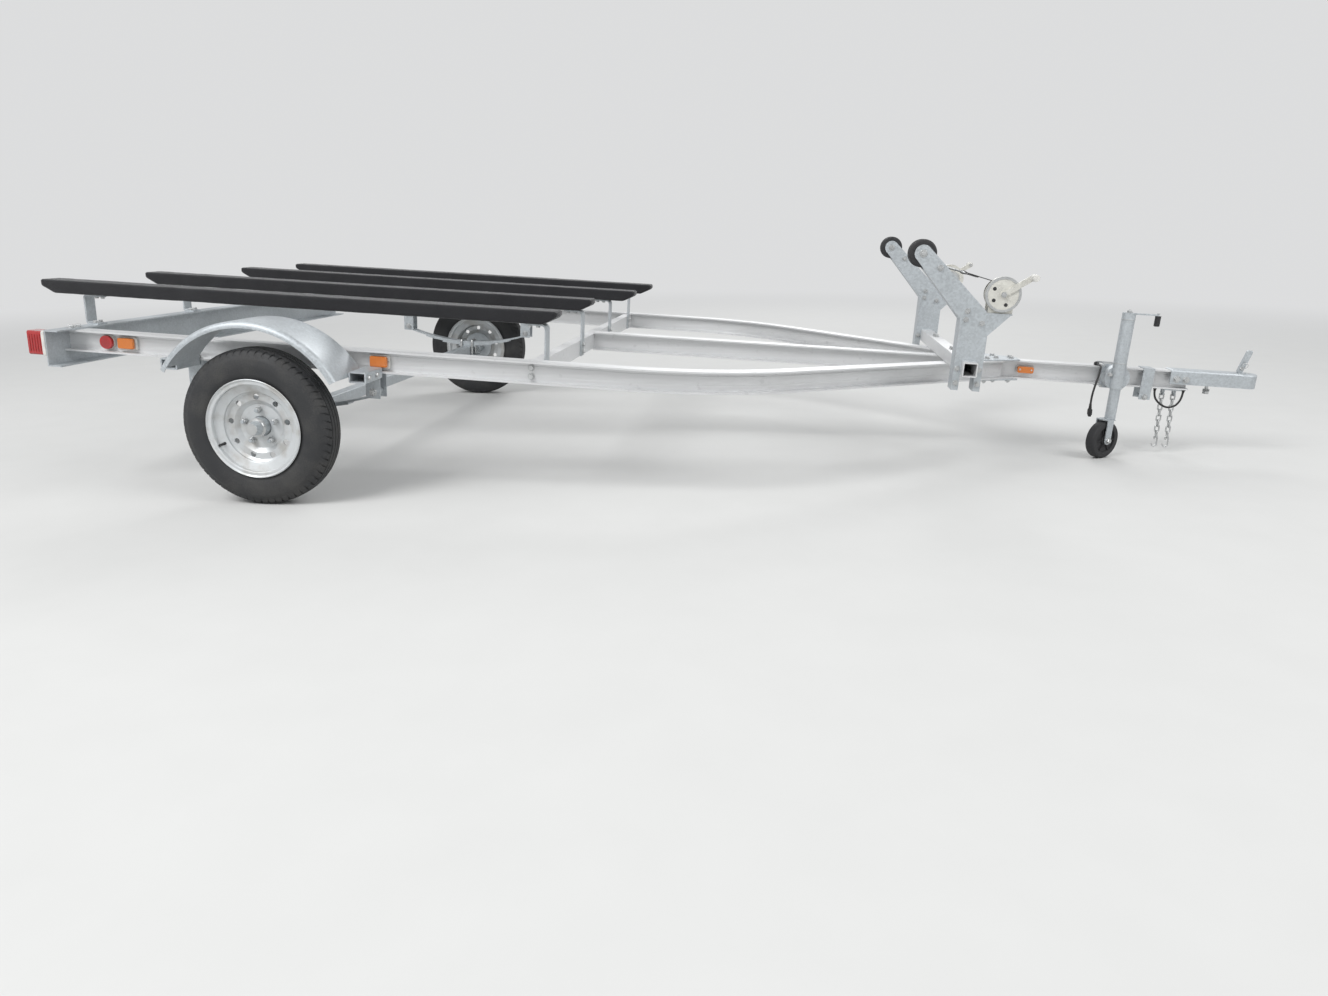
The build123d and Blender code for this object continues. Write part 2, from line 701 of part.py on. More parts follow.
with BuildPart() as rim_right:
    with BuildSketch(Plane(origin=(0, -wheel_y, axle_z), x_dir=(0, -1, 0), z_dir=(-1, 0, 0))):
        with BuildLine():
            barrel = Polyline(
                (-rim_w / 2, rim_flange_d / 2), (-rim_w / 2 + flange_step, rim_flange_d / 2 - flange_step),
                (-rim_w / 2 + flange_step, rim_seat_d / 2), (-well_half - well_slope, rim_seat_d / 2),
                (-well_half, rim_well_d / 2), (well_half, rim_well_d / 2),
                (well_half + well_slope, rim_seat_d / 2), (rim_w / 2 - flange_step, rim_seat_d / 2),
                (rim_w / 2 - flange_step, rim_flange_d / 2 - flange_step), (rim_w / 2, rim_flange_d / 2),
            )
            offset(barrel, amount=rim_sheet, side=Side.RIGHT)
        make_face()
        with BuildLine():
            Polyline(
                (0, pilot_d / 2), (disc_sheet, pilot_d / 2), (disc_sheet, lug_circle * 0.66),
                (disc_dish + disc_sheet, lug_circle * 0.8), (disc_dish + disc_sheet, vent_circle * 0.55),
                (well_half - disc_sheet, rim_well_d / 2 - rim_sheet), (well_half - 2 * disc_sheet, rim_well_d / 2 - rim_sheet),
                (disc_dish, vent_circle * 0.55), (disc_dish, lug_circle * 0.8), (0, lug_circle * 0.66), close=True,
            )
        make_face()
    revolve(axis=Axis((0, 0, axle_z), (0, 1, 0)))
    with BuildSketch(Plane(origin=(0, -wheel_y, axle_z), x_dir=(1, 0, 0), z_dir=(0, -1, 0))):
        with PolarLocations(lug_circle / 2, lug_count, start_angle=90):
            Circle(lug_hole_d / 2)
        with PolarLocations(vent_circle / 2, vent_count, start_angle=90):
            Circle(vent_d / 2)
    extrude(amount=rim_w / 2, both=True, mode=Mode.SUBTRACT)
with BuildPart() as rim_left:
    mirror(rim_right.part, about=Plane.XZ)

with BuildPart() as hub_right:
    with BuildSketch(Plane(origin=(0, -wheel_y, axle_z), x_dir=(0, -1, 0), z_dir=(-1, 0, 0))):
        with BuildLine():
            Polyline(
                (-hub_flange_t - hub_inboard, spindle_d / 2 + bore_gap),
                (-hub_flange_t - hub_inboard, hub_barrel_d / 2), (-hub_flange_t, hub_barrel_d / 2),
                (-hub_flange_t, hub_flange_d / 2), (-seat_fit, hub_flange_d / 2),
                (-seat_fit, hub_barrel_d / 2), (hub_outboard, hub_barrel_d / 2),
                (hub_outboard, cap_d / 2), (hub_outboard + cap_len, cap_d / 2 - cap_taper),
                (hub_outboard + cap_len, 0), (hub_outboard, 0),
                (hub_outboard, spindle_d / 2 + bore_gap), close=True,
            )
        make_face()
    revolve(axis=Axis((0, 0, axle_z), (0, 1, 0)))
    with BuildSketch(Plane(origin=(0, -wheel_y + hub_flange_t / 2, axle_z), x_dir=(1, 0, 0), z_dir=(0, -1, 0))):
        with PolarLocations(lug_circle / 2, lug_count, start_angle=90):
            Circle(stud_d / 2)
    extrude(amount=hub_flange_t / 2 + stud_len)
with BuildPart() as hub_left:
    mirror(hub_right.part, about=Plane.XZ)

chassis = {
    "rail_right": rail_right, "rail_left": rail_left, "tongue": tongue, "centre_beam": centre_beam,
    "crossmember_rear": crossmember_rear, "crossmember_front": crossmember_front,
    "stand_crossbar": stand_crossbar, "axle_beam": axle_beam, "spring_right": spring_right,
    "spring_left": spring_left, "spring_hangers_right": spring_hangers_right,
    "spring_hangers_left": spring_hangers_left, "fender_right": fender_right,
    "fender_left": fender_left, "fender_steps_right": fender_steps_right,
    "fender_steps_left": fender_steps_left, "bunk_brackets_rear": bunk_brackets_rear,
    "bunk_brackets_front": bunk_brackets_front, "winch_stand_right": winch_stand_right,
    "winch_stand_left": winch_stand_left, "bow_roller_right": bow_roller_right,
    "bow_roller_left": bow_roller_left, "winch_right": winch_right, "winch_left": winch_left,
    "coupler": coupler, "coupler_latch": coupler_latch, "jack_bracket": jack_bracket,
    "jack_tube": jack_tube, "jack_crank": jack_crank, "jack_leg": jack_leg,
    "caster_fork": caster_fork, "caster_wheel": caster_wheel, "tail_lights": tail_lights,
    "side_markers": side_markers, **dict(bunks),
}
for piece in chassis.values():
    piece.part.move(stance)

wheels = {
    "tyre_right": tyre_right, "tyre_left": tyre_left, "rim_right": rim_right, "rim_left": rim_left,
    "hub_right": hub_right, "hub_left": hub_left,
}
pieces = {**chassis, **wheels}
boxes = [piece.part.bounding_box() for piece in pieces.values()]
middle_x = (min(box.min.X for box in boxes) + max(box.max.X for box in boxes)) / 2
centred = Location((-middle_x, 0, 0))
for name, piece in pieces.items():
    piece.part.move(centred)
    piece.part.label = name
    export_step(piece.part, f"parts/{name}.step")

places = {
    "axle": (0, 0, axle_z), "jack_pivot": (jack_x, jack_y, pivot_z), "leg": (jack_x, jack_y, leg_low),
    "caster": (caster_x, caster_y, caster_z), "bow_roller": (roller_x, -stand_y, roller_z),
    "ball": (ball_x, 0, coupler_low), "bunk_rear": (bunk_table[0][2], bunk_table[0][1], bunk_top),
}
for name, place in places.items():
    print(name, [round(value, 3) for value in (centred * stance * Location(place)).position])
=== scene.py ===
# %% [markdown]
# A double watercraft trailer parked on its jack. The steel and aluminium pieces come from the
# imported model, which stays as it is. This lesson gives them their finishes and adds what is too
# small or too soft for it: tread, bolts, carpet, webbing, cables and chains.

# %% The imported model
import json
from math import atan2, ceil, cos, pi, radians, sin

import bmesh
import bpy
from mathutils import Matrix, Vector, noise


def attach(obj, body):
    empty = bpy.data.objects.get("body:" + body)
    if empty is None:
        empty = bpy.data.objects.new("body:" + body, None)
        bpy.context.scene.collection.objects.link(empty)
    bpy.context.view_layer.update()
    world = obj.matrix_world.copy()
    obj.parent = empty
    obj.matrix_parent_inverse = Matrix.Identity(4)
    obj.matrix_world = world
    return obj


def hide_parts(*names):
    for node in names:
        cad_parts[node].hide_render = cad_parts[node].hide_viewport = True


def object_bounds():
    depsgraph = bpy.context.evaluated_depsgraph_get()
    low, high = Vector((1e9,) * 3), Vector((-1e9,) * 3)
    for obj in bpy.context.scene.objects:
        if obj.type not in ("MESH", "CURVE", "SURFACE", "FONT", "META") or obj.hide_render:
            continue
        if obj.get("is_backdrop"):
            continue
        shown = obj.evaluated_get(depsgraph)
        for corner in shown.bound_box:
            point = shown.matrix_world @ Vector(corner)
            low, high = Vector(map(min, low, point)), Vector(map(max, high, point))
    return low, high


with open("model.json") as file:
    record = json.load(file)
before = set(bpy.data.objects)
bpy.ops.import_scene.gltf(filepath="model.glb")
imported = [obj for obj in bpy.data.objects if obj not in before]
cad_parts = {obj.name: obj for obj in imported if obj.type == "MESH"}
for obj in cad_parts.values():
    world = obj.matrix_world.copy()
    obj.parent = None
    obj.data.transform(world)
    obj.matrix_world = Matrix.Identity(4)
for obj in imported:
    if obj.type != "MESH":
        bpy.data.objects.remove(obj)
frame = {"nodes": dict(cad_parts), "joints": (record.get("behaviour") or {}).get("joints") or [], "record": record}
nodes = frame["nodes"]
cad_low, cad_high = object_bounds()
noise.seed_set(7)


def placed(name, data):
    """A new object of the scene."""
    made = bpy.data.objects.new(name, data)
    bpy.context.scene.collection.objects.link(made)
    return made


print("CAD box", [round(v, 3) for v in (*cad_low, *cad_high)], "nodes", len(nodes))

# %% [markdown]
# The trailer was photographed from its right side, from about eye height in a crouch. The place
# of the camera is known from the axle, so it is kept as an offset from the wheel's joint. The
# lens follows from the focal length in pixels and the width of the picture in pixels.

# %% Camera
joint_at = {joint["name"]: Vector(joint["pos_m"]) for joint in frame["joints"] if "pos_m" in joint}
axle = Vector((joint_at["wheel_right_spin"].x, 0, joint_at["wheel_right_spin"].z))
PICTURE_W = 1328
FOCAL_PX = 938.03
camera_at = Vector((axle.x + 1.77086, -4.07788, 0.90632))
yaw, pitch, roll = 0.13322, 0.2787, 0.00179
camera_data = bpy.data.cameras.new("camera")
camera_data.sensor_fit = "HORIZONTAL"
camera_data.lens = FOCAL_PX / PICTURE_W * camera_data.sensor_width
camera = placed("camera", camera_data)
camera.matrix_world = (
    Matrix.Translation(camera_at) @ Matrix.Rotation(yaw, 4, "Z")
    @ Matrix.Rotation(pi / 2 - pitch, 4, "X") @ Matrix.Rotation(-roll, 4, "Z")
)
bpy.context.scene.camera = camera
print("camera at", [round(v, 3) for v in camera_at], "lens", round(camera_data.lens, 2), "mm")

# %% [markdown]
# On its jack the trailer stands three degrees nose down. Sizes are easier to read on a level
# trailer, so each place below is written in millimetres on the level chassis, forwards from the
# axle, and one matrix tips it about the axle line into its stance.

# %% The tipped chassis
NOSE_DOWN = radians(3)
UP, DOWN, AHEAD, BACK = (0, 0, 1), (0, 0, -1), (1, 0, 0), (-1, 0, 0)
LEFT, RIGHT = (0, 1, 0), (0, -1, 0)
stance = (Matrix.Translation((axle.x, 0, axle.z)) @ Matrix.Rotation(NOSE_DOWN, 4, "Y")
          @ Matrix.Translation((0, 0, -axle.z)))


def at(x, y, z):
    """A point of the level chassis, in millimetres, where the tipped chassis has it."""
    return stance @ (Vector((x, y, z)) / 1000)


def level(x, y, z):
    """A frame at a point of the chassis, with its axes along the chassis."""
    return stance @ Matrix.Translation(Vector((x, y, z)) / 1000)


def aimed(toward):
    """A turn that points the Z axis along a direction."""
    return Vector(toward).to_track_quat("Z", "Y").to_matrix().to_4x4()


def facing(x, y, z, toward):
    """A frame at a point of the chassis, with its Z axis along a direction of the chassis."""
    return level(x, y, z) @ aimed(toward)


def raised(place, height):
    """The same frame, moved along its Z axis by a height in millimetres."""
    return place @ Matrix.Translation((0, 0, height / 1000))


print("coupler's ball at", [round(v, 3) for v in at(3596, 0, 472)])

# %% [markdown]
# Two short black cables hang at the front. A cable is a smooth line with weight, so each is one
# NURBS curve through a few listed points: straight out of its clip, down, and along its way.
# A round bevel gives it its eight millimetres.

# %% Cable routes
CABLE_D = 0.008
CLIP_TO_PLUG = ((3012, -24, 531.3), (3012, -62, 531.3), (3004, -106, 530), (2990, -144, 505),
                (2976, -160, 458), (2970, -161, 408), (2973, -161, 366))
BELOW_COUPLER = ((3256, -20, 449), (3256, -20, 418), (3276, -24, 390), (3310, -26, 371),
                 (3343, -26, 379), (3360, -24, 402), (3367, -20, 428), (3367, -20, 449))


def cable(name, route):
    line = bpy.data.curves.new(name, "CURVE")
    line.dimensions = "3D"
    spline = line.splines.new("NURBS")
    spline.points.add(len(route) - 1)
    for point, place in zip(spline.points, route):
        point.co = (*at(*place), 1)
        point.radius = CABLE_D / 2
    spline.order_u = 3
    spline.use_endpoint_u = True
    line.resolution_u = 16
    line.bevel_depth = 1
    line.bevel_resolution = 6
    line.use_fill_caps = True
    made = placed(name, line)
    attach(made, "chassis")
    return made


jack_cable = cable("jack_cable", CLIP_TO_PLUG)
coupler_cable = cable("coupler_cable", BELOW_COUPLER)
print("cables", jack_cable.name, coupler_cable.name)

# %% [markdown]
# Shader maths reads best as plain sums. This class wraps an output socket, so that adding or
# multiplying it adds a Math node, and a finish is written as an expression.

# %% Shader maths
class Wave:
    """A value that changes over a surface. Sums with it add Math nodes to its finish."""

    def __init__(self, finish, out):
        self.finish = finish
        self.out = out

    def maths(self, operation, first, second):
        return self.finish.node("ShaderNodeMath", {"operation": operation}, {0: first, 1: second})

    def __add__(self, other):
        return self.maths("ADD", self, other)

    def __sub__(self, other):
        return self.maths("SUBTRACT", self, other)

    def __rsub__(self, other):
        return self.maths("SUBTRACT", other, self)

    def __mul__(self, other):
        return self.maths("MULTIPLY", self, other)

    __radd__ = __add__
    __rmul__ = __mul__


def socket_label(word):
    """The label of a socket on the shader: base_color is Base Color."""
    return word.replace("_", " ").title().replace("Ior", "IOR")


class Finish:
    """A material that is made node by node, with constant values set on the shader itself."""

    def __init__(self, name, **constants):
        self.material = bpy.data.materials.new(name)
        self.material.use_nodes = True
        self.tree = self.material.node_tree
        self.shader = self.tree.nodes["Principled BSDF"]
        for socket, value in constants.items():
            self.shader.inputs[socket_label(socket)].default_value = value

    def node(self, kind, settings=None, sockets=None, out=0):
        made = self.tree.nodes.new(kind)
        for key, value in (settings or {}).items():
            setattr(made, key, value)
        for key, value in (sockets or {}).items():
            if isinstance(value, Wave):
                self.tree.links.new(value.out, made.inputs[key])
            else:
                made.inputs[key].default_value = value
        return Wave(self, made.outputs[out])

    def place(self, squeeze=(1, 1, 1), turn=(0, 0, 0)):
        where = self.node("ShaderNodeTexCoord", out="Object")
        return self.node("ShaderNodeMapping", None,
                         {"Vector": where, "Rotation": turn, "Scale": squeeze})

    def noise(self, scale, detail=4, squeeze=(1, 1, 1)):
        return self.node("ShaderNodeTexNoise", None,
                         {"Vector": self.place(squeeze), "Scale": scale, "Detail": detail})

    def bands(self, scale, direction="X", turn=(0, 0, 0)):
        return self.node("ShaderNodeTexWave", {"wave_type": "BANDS", "bands_direction": direction},
                         {"Vector": self.place(turn=turn), "Scale": scale, "Distortion": 0})

    def step(self, value, low, high, bottom=0.0, top=1.0):
        return self.node("ShaderNodeMapRange", {"interpolation_type": "SMOOTHSTEP"},
                         {"Value": value, "From Min": low, "From Max": high,
                          "To Min": bottom, "To Max": top})

    def mix(self, factor, first, second):
        """A colour between two, each of them a wave or three numbers."""
        first, second = (c if isinstance(c, Wave) else (*c, 1) for c in (first, second))
        return self.node("ShaderNodeMix", {"data_type": "RGBA"},
                         {0: factor, 6: first, 7: second}, out=2)

    def bump(self, height, strength, depth):
        self.feed(normal=self.node("ShaderNodeBump", None, {
            "Strength": strength, "Distance": depth, "Height": height}))

    def feed(self, **waves):
        for socket, wave in waves.items():
            self.tree.links.new(wave.out, self.shader.inputs[socket_label(socket)])


def shades(tone, low, high):
    """A darker and a paler colour on each side of a tone."""
    return tuple(v * low for v in tone), tuple(v * high for v in tone)


# %% [markdown]
# Hot-dip galvanised steel is a dull pale grey with a touch of blue. Zinc crystals of a few
# millimetres each catch the light a little differently, rain leaves soft streaks down the upright
# faces, and here and there the zinc has gone white and chalky.

# %% Galvanised steel
steel = Finish("galvanised", metallic=0.55, specular_ior_level=0.5)
crystals = steel.node("ShaderNodeTexVoronoi", None,
                      {"Vector": steel.place(), "Scale": 170, "Randomness": 1}, out="Color")
spangle = steel.node("ShaderNodeSeparateColor", None, {"Color": crystals})
cloud, streak = steel.noise(7, 5), steel.noise(22, 3, (1, 1, 0.12))
dull, pale = shades((0.45, 0.48, 0.50), 0.78, 1.24)
colour = steel.mix(spangle * 0.45 + cloud * 0.35 + streak * 0.2, dull, pale)
chalk = steel.step(steel.noise(31, 6), 0.60, 0.72)
colour = steel.mix(chalk * 0.4, colour, (0.585, 0.624, 0.65))
steel.feed(base_color=colour, roughness=steel.step(cloud + spangle * 0.4, 0.3, 1.0, 0.36, 0.60))
steel.bump(spangle * 0.3 + steel.noise(420, 2), 0.14, 0.0004)
hot_dip = steel.material
print("finish", hot_dip.name)

# %% [markdown]
# Small hardware is plated with bright zinc instead: a fine even grain, more shine, and a dull
# bloom with brown specks where the plating is thin.

# %% Bright zinc plate
def plated(name, tone=(0.55, 0.56, 0.56), metal=0.85, rust=0.30):
    plate = Finish(name, metallic=metal, specular_ior_level=0.5)
    bloom = plate.noise(38, 5)
    grit = plate.noise(600, 3)
    dull, pale = shades(tone, 0.70, 1.20)
    colour = plate.mix(bloom * 0.8 + grit * 0.2, dull, pale)
    specks = plate.step(plate.noise(150, 5), 0.68, 0.76)
    colour = plate.mix(specks * rust, colour, (0.25, 0.13, 0.07))
    plate.feed(base_color=colour, roughness=plate.step(bloom, 0.3, 0.7, 0.24, 0.46))
    plate.bump(grit, 0.12, 0.0002)
    return plate.material


bright_zinc = plated("zinc")
winch_plate = plated("winch_plate", (0.66, 0.65, 0.60), 0.25, 0.12)
print("finishes", bright_zinc.name, winch_plate.name)

# %% [markdown]
# The beams are aluminium as it leaves the press: pale, with long faint lines along the beam,
# a thin grey bloom from the weather and darker grey spots here and there.

# %% Mill aluminium
metal = Finish("mill_aluminium", metallic=0.5, specular_ior_level=0.5)
lines, bloom = metal.noise(40, 6, (0.02, 1, 2.2)), metal.noise(3.2, 6)
spots = metal.step(metal.noise(34, 4), 0.60, 0.74)
dull, pale = shades((0.66, 0.665, 0.67), 0.84, 1.16)
colour = metal.mix(lines * 0.6 + bloom * 0.4, dull, pale)
colour = metal.mix(spots * 0.35, colour, (0.462, 0.4655, 0.469))
metal.feed(base_color=colour, roughness=metal.step(lines + bloom, 0.6, 1.4, 0.36, 0.56))
metal.bump(lines, 0.10, 0.0005)
press_metal = metal.material
print("finish", press_metal.name)

# %% [markdown]
# The wheels are pressed steel under a satin silver paint, with patches of a darker dust here and
# there.

# %% Wheel paint
paint = Finish("wheel_paint", metallic=0.35, coat_weight=0.15, coat_roughness=0.3)
dust = paint.noise(16, 5)
colour = paint.mix(paint.step(dust, 0.42, 0.7), (0.60, 0.62, 0.63), (0.46, 0.455, 0.44))
paint.feed(base_color=colour, roughness=paint.step(dust, 0.3, 0.7, 0.34, 0.58))
paint.bump(paint.noise(320, 2), 0.08, 0.0003)
silver = paint.material
print("finish", silver.name)

# %% [markdown]
# Tyre rubber is a dark grey, never black, with patches of road dust and fine mould lines on
# the side wall. The rollers, the cables and the plugs are cleaner and smoother.

# %% Rubber and cable sheath
def rubber(name, tone=(0.026, 0.027, 0.029), dusty=(0.10, 0.096, 0.09), amount=0.45, grain=210):
    stuff = Finish(name, specular_ior_level=0.4)
    dust = stuff.noise(11, 6)
    grit = stuff.noise(grain, 3)
    mask = stuff.step(dust + grit * 0.3, 0.5, 0.95) * amount
    stuff.feed(base_color=stuff.mix(mask, tone, dusty),
               roughness=stuff.step(dust, 0.3, 0.8, 0.55, 0.85))
    stuff.bump(grit, 0.15, 0.0006)
    return stuff.material


tyre_rubber = rubber("tyre_rubber")
roller_rubber = rubber("roller_rubber", (0.022, 0.022, 0.024), (0.07, 0.07, 0.07), 0.3)
cable_sheath = rubber("cable_sheath", (0.018, 0.018, 0.019), (0.05, 0.048, 0.045), 0.5, 500)
print("finishes", tyre_rubber.name, roller_rubber.name, cable_sheath.name)

# %% [markdown]
# Marine carpet is a felt of short loops, nearly black. Its pile scatters light at grazing angles,
# so it has sheen, and its bump is two scales of noise.

# %% Carpet
felt = Finish("bunk_carpet", roughness=0.95, sheen_weight=0.35, sheen_roughness=0.45,
              specular_ior_level=0.15)
tufts, matted = felt.noise(520, 5), felt.noise(9, 5)
lint = felt.step(felt.noise(260, 3), 0.66, 0.72)
colour = felt.mix(tufts * 0.7 + matted * 0.5, (0.006, 0.006, 0.007), (0.034, 0.034, 0.037))
felt.feed(base_color=felt.mix(lint * 0.25, colour, (0.12, 0.12, 0.11)))
felt.bump(tufts + matted * 0.4, 0.8, 0.0022)
bunk_carpet = felt.material
print("finish", bunk_carpet.name)

# %% [markdown]
# The winch straps are polyester webbing. Its yarns cross at a slant a millimetre or so apart, and
# two band textures at right angles, multiplied, give that weave.

# %% Webbing
weave = Finish("webbing", roughness=0.8, sheen_weight=0.25, specular_ior_level=0.25)
yarns = weave.bands(260, "DIAGONAL") * weave.bands(260, "Y", (0, 0.3, 0.8))
worn = weave.noise(45, 5)
colour = weave.mix(yarns * 0.6 + worn * 0.5, (0.012, 0.012, 0.014), (0.085, 0.085, 0.088))
weave.feed(base_color=colour)
weave.bump(yarns + worn * 0.2, 0.6, 0.0009)
strap_webbing = weave.material
print("finish", strap_webbing.name)

# %% [markdown]
# The lamps have ribbed plastic lenses on pale moulded housings. The lens is a deep red or amber with
# painted highlights: lighter bands along the ribs and the prism rows stand for light caught by them.

# %% Lamp plastics
def lens(name, deep, lit, direction="Y", ribs=100):
    plastic = Finish(name, roughness=0.16, coat_weight=0.6, coat_roughness=0.05)
    flutes_and_highlight = plastic.bands(ribs, direction)
    prism_bands_and_highlight = plastic.bands(ribs * 0.8, "Z")
    cloud = plastic.noise(60, 3)
    # Painted highlights: the rib and prism-row bands lighten the colour toward the lit tone. The deep tone and the
    # faint cloud are the plastic's own colour.
    plastic.feed(base_color=plastic.mix(flutes_and_highlight * 0.35 + prism_bands_and_highlight * 0.25 + cloud * 0.3, deep, lit))
    plastic.bump(flutes_and_highlight + prism_bands_and_highlight * 0.6, 0.3, 0.0008)
    return plastic.material


def moulded(name, tone):
    plastic = Finish(name, specular_ior_level=0.45)
    grime = plastic.noise(26, 6)
    dull, pale = shades(tone, 0.72, 1.06)
    plastic.feed(base_color=plastic.mix(plastic.step(grime, 0.35, 0.75), pale, dull),
                 roughness=plastic.step(grime, 0.3, 0.7, 0.38, 0.62))
    plastic.bump(plastic.noise(700, 2), 0.10, 0.0002)
    return plastic.material


red_lens = lens("red_lens", (0.20, 0.006, 0.008), (0.55, 0.03, 0.03))
amber_lens = lens("amber_lens", (0.40, 0.085, 0.008), (0.78, 0.25, 0.03), "X")
pale_plastic = moulded("pale_plastic", (0.66, 0.65, 0.62))
print("finishes", red_lens.name, amber_lens.name, pale_plastic.name)

# %% [markdown]
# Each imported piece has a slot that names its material. It gets that slot's finish, and only the
# plates of the winches have one of their own.

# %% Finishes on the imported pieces
BY_SLOT = {
    "galvanised": hot_dip, "aluminium": press_metal, "wheel_steel": silver, "tyre": tyre_rubber,
    "black_rubber": roller_rubber, "carpet": bunk_carpet, "red_lens": red_lens,
    "amber_lens": amber_lens,
}
OWN_FINISH = {"winch_right": winch_plate, "winch_left": winch_plate}
slot_of = {part["node"]: part["material_slot"] for part in frame["record"]["subparts"]}


def dress(thing, finish):
    if thing.material_slots:
        for place in thing.material_slots:
            place.material = finish
    else:
        thing.data.materials.append(finish)


for name, thing in nodes.items():
    dress(thing, OWN_FINISH.get(name, BY_SLOT[slot_of[name]]))
for thing in (jack_cable, coupler_cable):
    dress(thing, cable_sheath)
print("finished", len(nodes), "pieces")

# %% [markdown]
# The added pieces are built in mesh code. Nearly all of them are rings of points joined by
# quads: a turned shape, a tube along a line, a bolt head, a strap or a tyre. One class keeps
# that in one place.

# %% Mesh shapes
def turns(count):
    """Angles at even steps round a circle."""
    return [2 * pi * k / count for k in range(count)]


def circle(radius, sides):
    return [(radius * cos(a), radius * sin(a)) for a in turns(sides)]


def ring_on(place, outline, height):
    """An outline in millimetres as points at a height over a frame."""
    return [place @ (Vector((x, y, height)) / 1000) for x, y in outline]


class Shape:
    """A mesh put together from rings of points, in metres, in the trailer's frame."""

    def __init__(self):
        self.mesh = bmesh.new()

    def loft(self, rings, closed=False):
        rows = [[self.mesh.verts.new(point) for point in ring] for ring in rings]
        pairs = list(zip(rows, rows[1:])) + ([(rows[-1], rows[0])] if closed else [])
        for low, high in pairs:
            for i in range(len(low)):
                j = (i + 1) % len(low)
                self.mesh.faces.new((low[i], low[j], high[j], high[i]))
        if not closed:
            self.mesh.faces.new(rows[0][::-1])
            self.mesh.faces.new(rows[-1])
        return self

    def turned(self, place, profile, sides=32):
        """A turned shape. The profile is (radius, height) in millimetres along the Z axis."""
        return self.loft([ring_on(place, circle(r, sides), h) for r, h in profile])

    def plate(self, place, outline, low, high, edge=0.6):
        """A flat plate with softened edges. The outline and heights are in millimetres."""
        middle = sum((Vector(p) for p in outline), Vector((0, 0))) / len(outline)
        arms = [Vector(p) - middle for p in outline]
        shrunk = 1 - edge / max(arm.length for arm in arms)
        return self.loft([ring_on(place, [middle + arm * size for arm in arms], h) for size, h in
                          ((shrunk, low), (1, low + edge), (1, high - edge), (shrunk, high))])

    def tube(self, points, radius, sides=10, closed=False):
        """A round tube along points. The radius, in metres, is one value or one for each point."""
        points = [Vector(p) for p in points]
        count = len(points)
        radii = radius if isinstance(radius, list) else [radius] * count
        side = None
        rings = []
        for i, point in enumerate(points):
            before = points[i - 1] if closed or i else point
            after = points[(i + 1) % count] if closed or i < count - 1 else point
            ahead = (after - before).normalized()
            if side is None:
                side = ahead.orthogonal()
            side = (side - ahead * side.dot(ahead)).normalized()
            other = ahead.cross(side)
            rings.append([point + (side * cos(a) + other * sin(a)) * radii[i]
                          for a in turns(sides)])
        return self.loft(rings, closed)

    def nut(self, place, across=17, height=10, washer=26, stud=0):
        """A hexagon with bevelled corners on a washer, and the end of its thread."""
        base, rim = 2 if washer else 0, washer / 2
        top = base + height
        corner = across / 2 / cos(pi / 6)
        if washer:
            self.turned(place, [(rim - 0.5, 0), (rim, 0.5), (rim, 1.5), (rim - 0.5, 2)], 24)
        self.turned(place, [(corner * 0.95, base), (corner, base + 0.8), (corner, top - 1.4),
                            (corner * 0.9, top)], 6)
        if stud:
            thread = across * 0.29
            self.turned(place, [(thread, base), (thread, top + stud - 1), (thread - 1, top + stud)],
                        16)

    def nuts(self, spots, toward, *sizes):
        """The same nut at several points of the chassis."""
        for spot in spots:
            self.nut(facing(*spot, toward), *sizes)


def curve_through(points, steps):
    """Points on a smooth line through the given points."""
    last = len(points) - 1
    line = []
    for i in range(last):
        a, b, c, d = (points[min(max(i + k, 0), last)] for k in (-1, 0, 1, 2))
        for k in range(steps):
            t = k / steps
            line.append(0.5 * (2 * b + (c - a) * t + (2 * a - 5 * b + 4 * c - d) * t * t
                               + (3 * b - a - 3 * c + d) * t ** 3))
    return line + [points[-1]]


def rounded(half_w, half_h, corner):
    """The outline of a rectangle with round corners."""
    return [(x * (half_w - corner) + corner * cos(a), z * (half_h - corner) + corner * sin(a))
            for x, z, start in ((1, 1, 0), (-1, 1, 90), (-1, -1, 180), (1, -1, 270))
            for a in (radians(start + 22.5 * k) for k in range(5))]


def section_at(x):
    """A frame at a distance along the trailer whose X axis points left, Y up and Z ahead."""
    return level(x, 0, 0) @ Matrix(((0, 0, 1, 0), (1, 0, 0, 0), (0, 1, 0, 0), (0, 0, 0, 1)))


added = {}
SLOTS = {hot_dip: "galvanised", bright_zinc: "galvanised", tyre_rubber: "tyre",
         roller_rubber: "black_rubber", cable_sheath: "black_rubber", bunk_carpet: "carpet",
         red_lens: "red_lens", amber_lens: "amber_lens"}


def piece(name, shape, finish, body="chassis", stands_for=(), sharp=35):
    """The shape as an object that rides on a body and, where told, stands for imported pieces."""
    bmesh.ops.remove_doubles(shape.mesh, verts=shape.mesh.verts, dist=1e-6)
    bmesh.ops.recalc_face_normals(shape.mesh, faces=shape.mesh.faces)
    for edge in shape.mesh.edges:
        edge.smooth = edge.calc_face_angle(0) < radians(sharp)
    for face in shape.mesh.faces:
        face.smooth = True
    data = bpy.data.meshes.new(name)
    shape.mesh.to_mesh(data)
    shape.mesh.free()
    data.materials.append(finish)
    made = placed(name, data)
    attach(made, body)
    finish in SLOTS
    if stands_for:
        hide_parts(*stands_for)
    data.calc_loop_triangles()
    added[name] = len(data.loop_triangles)
    return made


print("shapes ready")

# %% [markdown]
# The tyre's section is a closed line: five ribs between four grooves, a shoulder, a bowed side
# wall with two mould rings, the bead and the inside. It is turned round the axle in short steps,
# and at each pitch the shoulder dips for a cross groove that runs out at a slant.

# %% Tyres
TYRE_R, GROOVES, PITCHES = 267, (9, 27), 62


